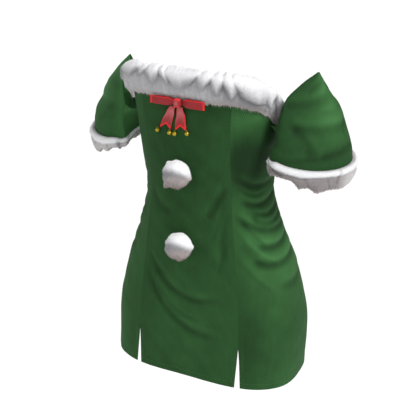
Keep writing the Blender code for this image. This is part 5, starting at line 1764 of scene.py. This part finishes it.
def make_tails(finish):
    """Flat ribbon ends with a notch, which follow the front panel a little way off it."""
    points_across, rows = TAIL_GRID
    share = np.linspace(0, 1, rows)[:, None]
    across = np.linspace(-1, 1, points_across)[None, :]
    found = []
    for tail in named_rows(TAILS, TAIL_COLUMNS):
        top = tail["top_x"] + across * TAIL_TOP_HALF_WIDTH
        end_x = np.interp(across, (-1, 0, 1), (tail["left_x"], tail["notch_x"], tail["right_x"]))
        ends = (tail["left_height"], tail["notch_height"], tail["right_height"])
        end_height = np.interp(across, (-1, 0, 1), ends)
        swung = (tail["swing"] + across * TAIL_BELLY) * np.sin(math.pi * share)
        x = top * (1 - share) + end_x * share + swung
        top_height = TAIL_TOP_HEIGHT + TAIL_TOP_RISES * np.abs(top)
        height = top_height * (1 - share) + end_height * share
        wave = TAIL_WAVE * share * np.sin(share * 5.0 + 0.5 * across)
        hung = front_face_y(x, height) - TAIL_OFF_CLOTH
        from_knot = bow_y() - TAIL_TOP_FORWARD - hung
        y = hung - wave + from_knot * (1 - ease(share / TAIL_MEETS_CLOTH))
        y = y - TAIL_PLEAT * np.sin(across * 6.0 + 1.0) * (1 - share)
        front = np.stack([x, y, height], -1)
        uv = np.stack([lengths_along(front, 0), lengths_along(front, 1)], -1)
        # Painted highlight in brighter red at the tips, along the long edges and down the left tail's outer
        # side.
        outer_side = ease((across - 0.55) / 0.3) if tail["name"].endswith("left") else 0 * across
        edge = np.clip(ease((share - 0.84) / 0.12) + outer_side * ease(share / 0.3), 0, 1)
        edge = np.clip(edge + 0.8 * ease((np.abs(across) - 0.86) / 0.1), 0, 1)
        # Painted sheen, paler and pinker, down the upper middle of each tail.
        pale = TAIL_PALE * hump(share, 0.32, 0.32) * (1 - edge)
        shades = {"pale": pale * np.ones_like(across), "edge": edge * np.ones_like(share)}
        name = tail["name"] + "_ribbon"
        piece = make_shell(name, front, front + (0, RIBBON, 0), finish, uv, shades)
        settle(piece, "red_ribbon", tail["name"])
        found.append((piece, flat_size(front)))
    return found


def make_bells(finish):
    """Small round bells, each with a crossed slot below, a rolled seam round the middle and a ring."""
    around, up = BELL_GRID
    _, _, way = ball_ways(around, up)
    x, y, z = np.moveaxis(way, -1, 0)
    seam_stands = 1 + BELL_SEAM * hump(z, 0, 0.07)
    cross = np.minimum(np.abs(x + 0.15), np.abs(y * 0.4 + z * 0.3 + 0.10))
    slot = ease((BELL_SLOT_HALF_WIDTH - cross) / 0.06) * ease((0.05 - z) / 0.2)
    radius = BELL_RADIUS * BELL_BALL * (seam_stands - BELL_SLOT_DEPTH * slot)
    wire_points, ring_points = BELL_RING_GRID
    ring_turn = full_turn(ring_points)[:, None]
    wire_turn = full_turn(wire_points)[None, :]
    reach = BELL_RING + BELL_WIRE * np.cos(wire_turn)
    hoop = (reach * np.cos(ring_turn), BELL_WIRE * np.sin(wire_turn), reach * np.sin(ring_turn))
    hoop = np.stack(np.broadcast_arrays(*hoop), -1)
    ball_faces = grid_quads(up, around, round_it=True)
    hoop_faces = grid_quads(ring_points, wire_points, round_it=True, round_up=True) + up * around
    faces = np.concatenate([ball_faces, hoop_faces[:, ::-1]])
    for bell in named_rows(BELLS, BELL_COLUMNS):
        middle_y = float(front_face_y(bell["x"], bell["height"])) - BELL_RADIUS - 2 * SEAT
        centre = np.array((bell["x"], middle_y, bell["height"]))
        ball = centre + way * radius[..., None]
        above = centre + (0, 0, BELL_RADIUS + 0.4 * BELL_RING)
        points = np.concatenate([ball.reshape(-1, 3), (above + hoop).reshape(-1, 3)])
        # The slots get painted shade for the bell's dark inside.
        slots = np.concatenate([slot.ravel(), np.zeros(hoop[..., 0].size)])
        piece = make_mesh(bell["name"] + "_shell", points, faces, finish, None, {"slot": slots})
        settle(piece, "gold_bell", bell["name"])


# Setting.


def add_aimed(name, data, backwards):
    """A camera or a light that looks away from a direction."""
    made = add_object(name, data)
    made.rotation_mode = "QUATERNION"
    made.rotation_quaternion = (-Vector(backwards)).to_track_quat("-Z", "Y")
    return made


def make_camera():
    lens = bpy.data.cameras.new("camera")
    lens.sensor_width = SENSOR
    lens.lens = LENS
    made = add_aimed("camera", lens, CAMERA_BACK)
    made.location = CAMERA_PLACE
    bpy.context.scene.camera = made


def make_setting():
    """Soft studio light and a pale floor, far below so that the dress hangs in front of plain white."""
    scene = bpy.context.scene
    scene.world = bpy.data.worlds.new("studio")
    scene.world.use_nodes = True
    background = scene.world.node_tree.nodes["Background"]
    background.inputs[0].default_value = (1.0, 1.0, 1.0, 1)
    background.inputs[1].default_value = WORLD_STRENGTH
    scene.view_settings.view_transform = "Standard"
    for light in named_rows(LIGHTS, LIGHT_COLUMNS):
        lamp = bpy.data.lights.new(light["name"], "SUN")
        lamp.energy = light["strength"]
        lamp.angle = math.radians(light["spread"])
        add_aimed(light["name"], lamp, light["towards"])
    ways = ((-1, -1), (1, -1), (1, 1), (-1, 1))
    points = [(x * FLOOR_HALF, y * FLOOR_HALF, -FLOOR_BELOW_HEM) for x, y in ways]
    make_mesh("floor", points, [(0, 1, 2, 3)], floor_paper())


def make_panels(cloth, thread):
    """The four panels of the body, between the seams, with their stitches."""
    front_left, front_right, back_left = seam(0, -1), seam(-math.pi, 1), seam(0, 1)
    back_right, back_right_after = seam(-math.pi, -1), seam(math.pi, -1)
    front = ("front_cloth", "front_panel", front_right, front_left, FRONT_FOLDS, FRONT_CREASES)
    left = ("side_cloth_left", "side_panel_left", front_left, back_left, LEFT_SIDE_FOLDS, LEFT_SIDE_CREASES)
    right = (
        "side_cloth_right", "side_panel_right", back_right, front_right,
        RIGHT_SIDE_FOLDS, RIGHT_SIDE_CREASES,
    )
    back = ("back_cloth", "back_panel", back_left, back_right_after, BACK_FOLDS, BACK_CREASES)
    return [
        make_panel(*front, cloth, thread, slit_start=1, slit_end=1),
        make_panel(*left, cloth, thread, slit_start=1),
        make_panel(*right, cloth, thread, FAR_FOLDS_SOFTENED, slit_end=1),
        make_panel(*back, cloth, thread),
    ]


def main():
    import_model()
    make_camera()
    make_setting()
    cloth, thread, fur, ribbon = green_cloth(), green_thread(), white_fur(), red_ribbon()
    panels = make_panels(cloth, thread)
    make_neck_trim(fur)
    arms = named_rows(SIDES, SIDE_COLUMNS)
    sleeves = [make_sleeve(arm, cloth) for arm in arms]
    for arm in arms:
        make_cuff(arm, fur)
    balls = [
        make_pompom(ball, fur, POMPOM_SEED + i)
        for i, ball in enumerate(named_rows(POMPOMS, POMPOM_COLUMNS))
    ]
    make_knot(ribbon)
    loops = make_loops(ribbon)
    tails = make_tails(ribbon)
    make_bells(gold_bell())


main()
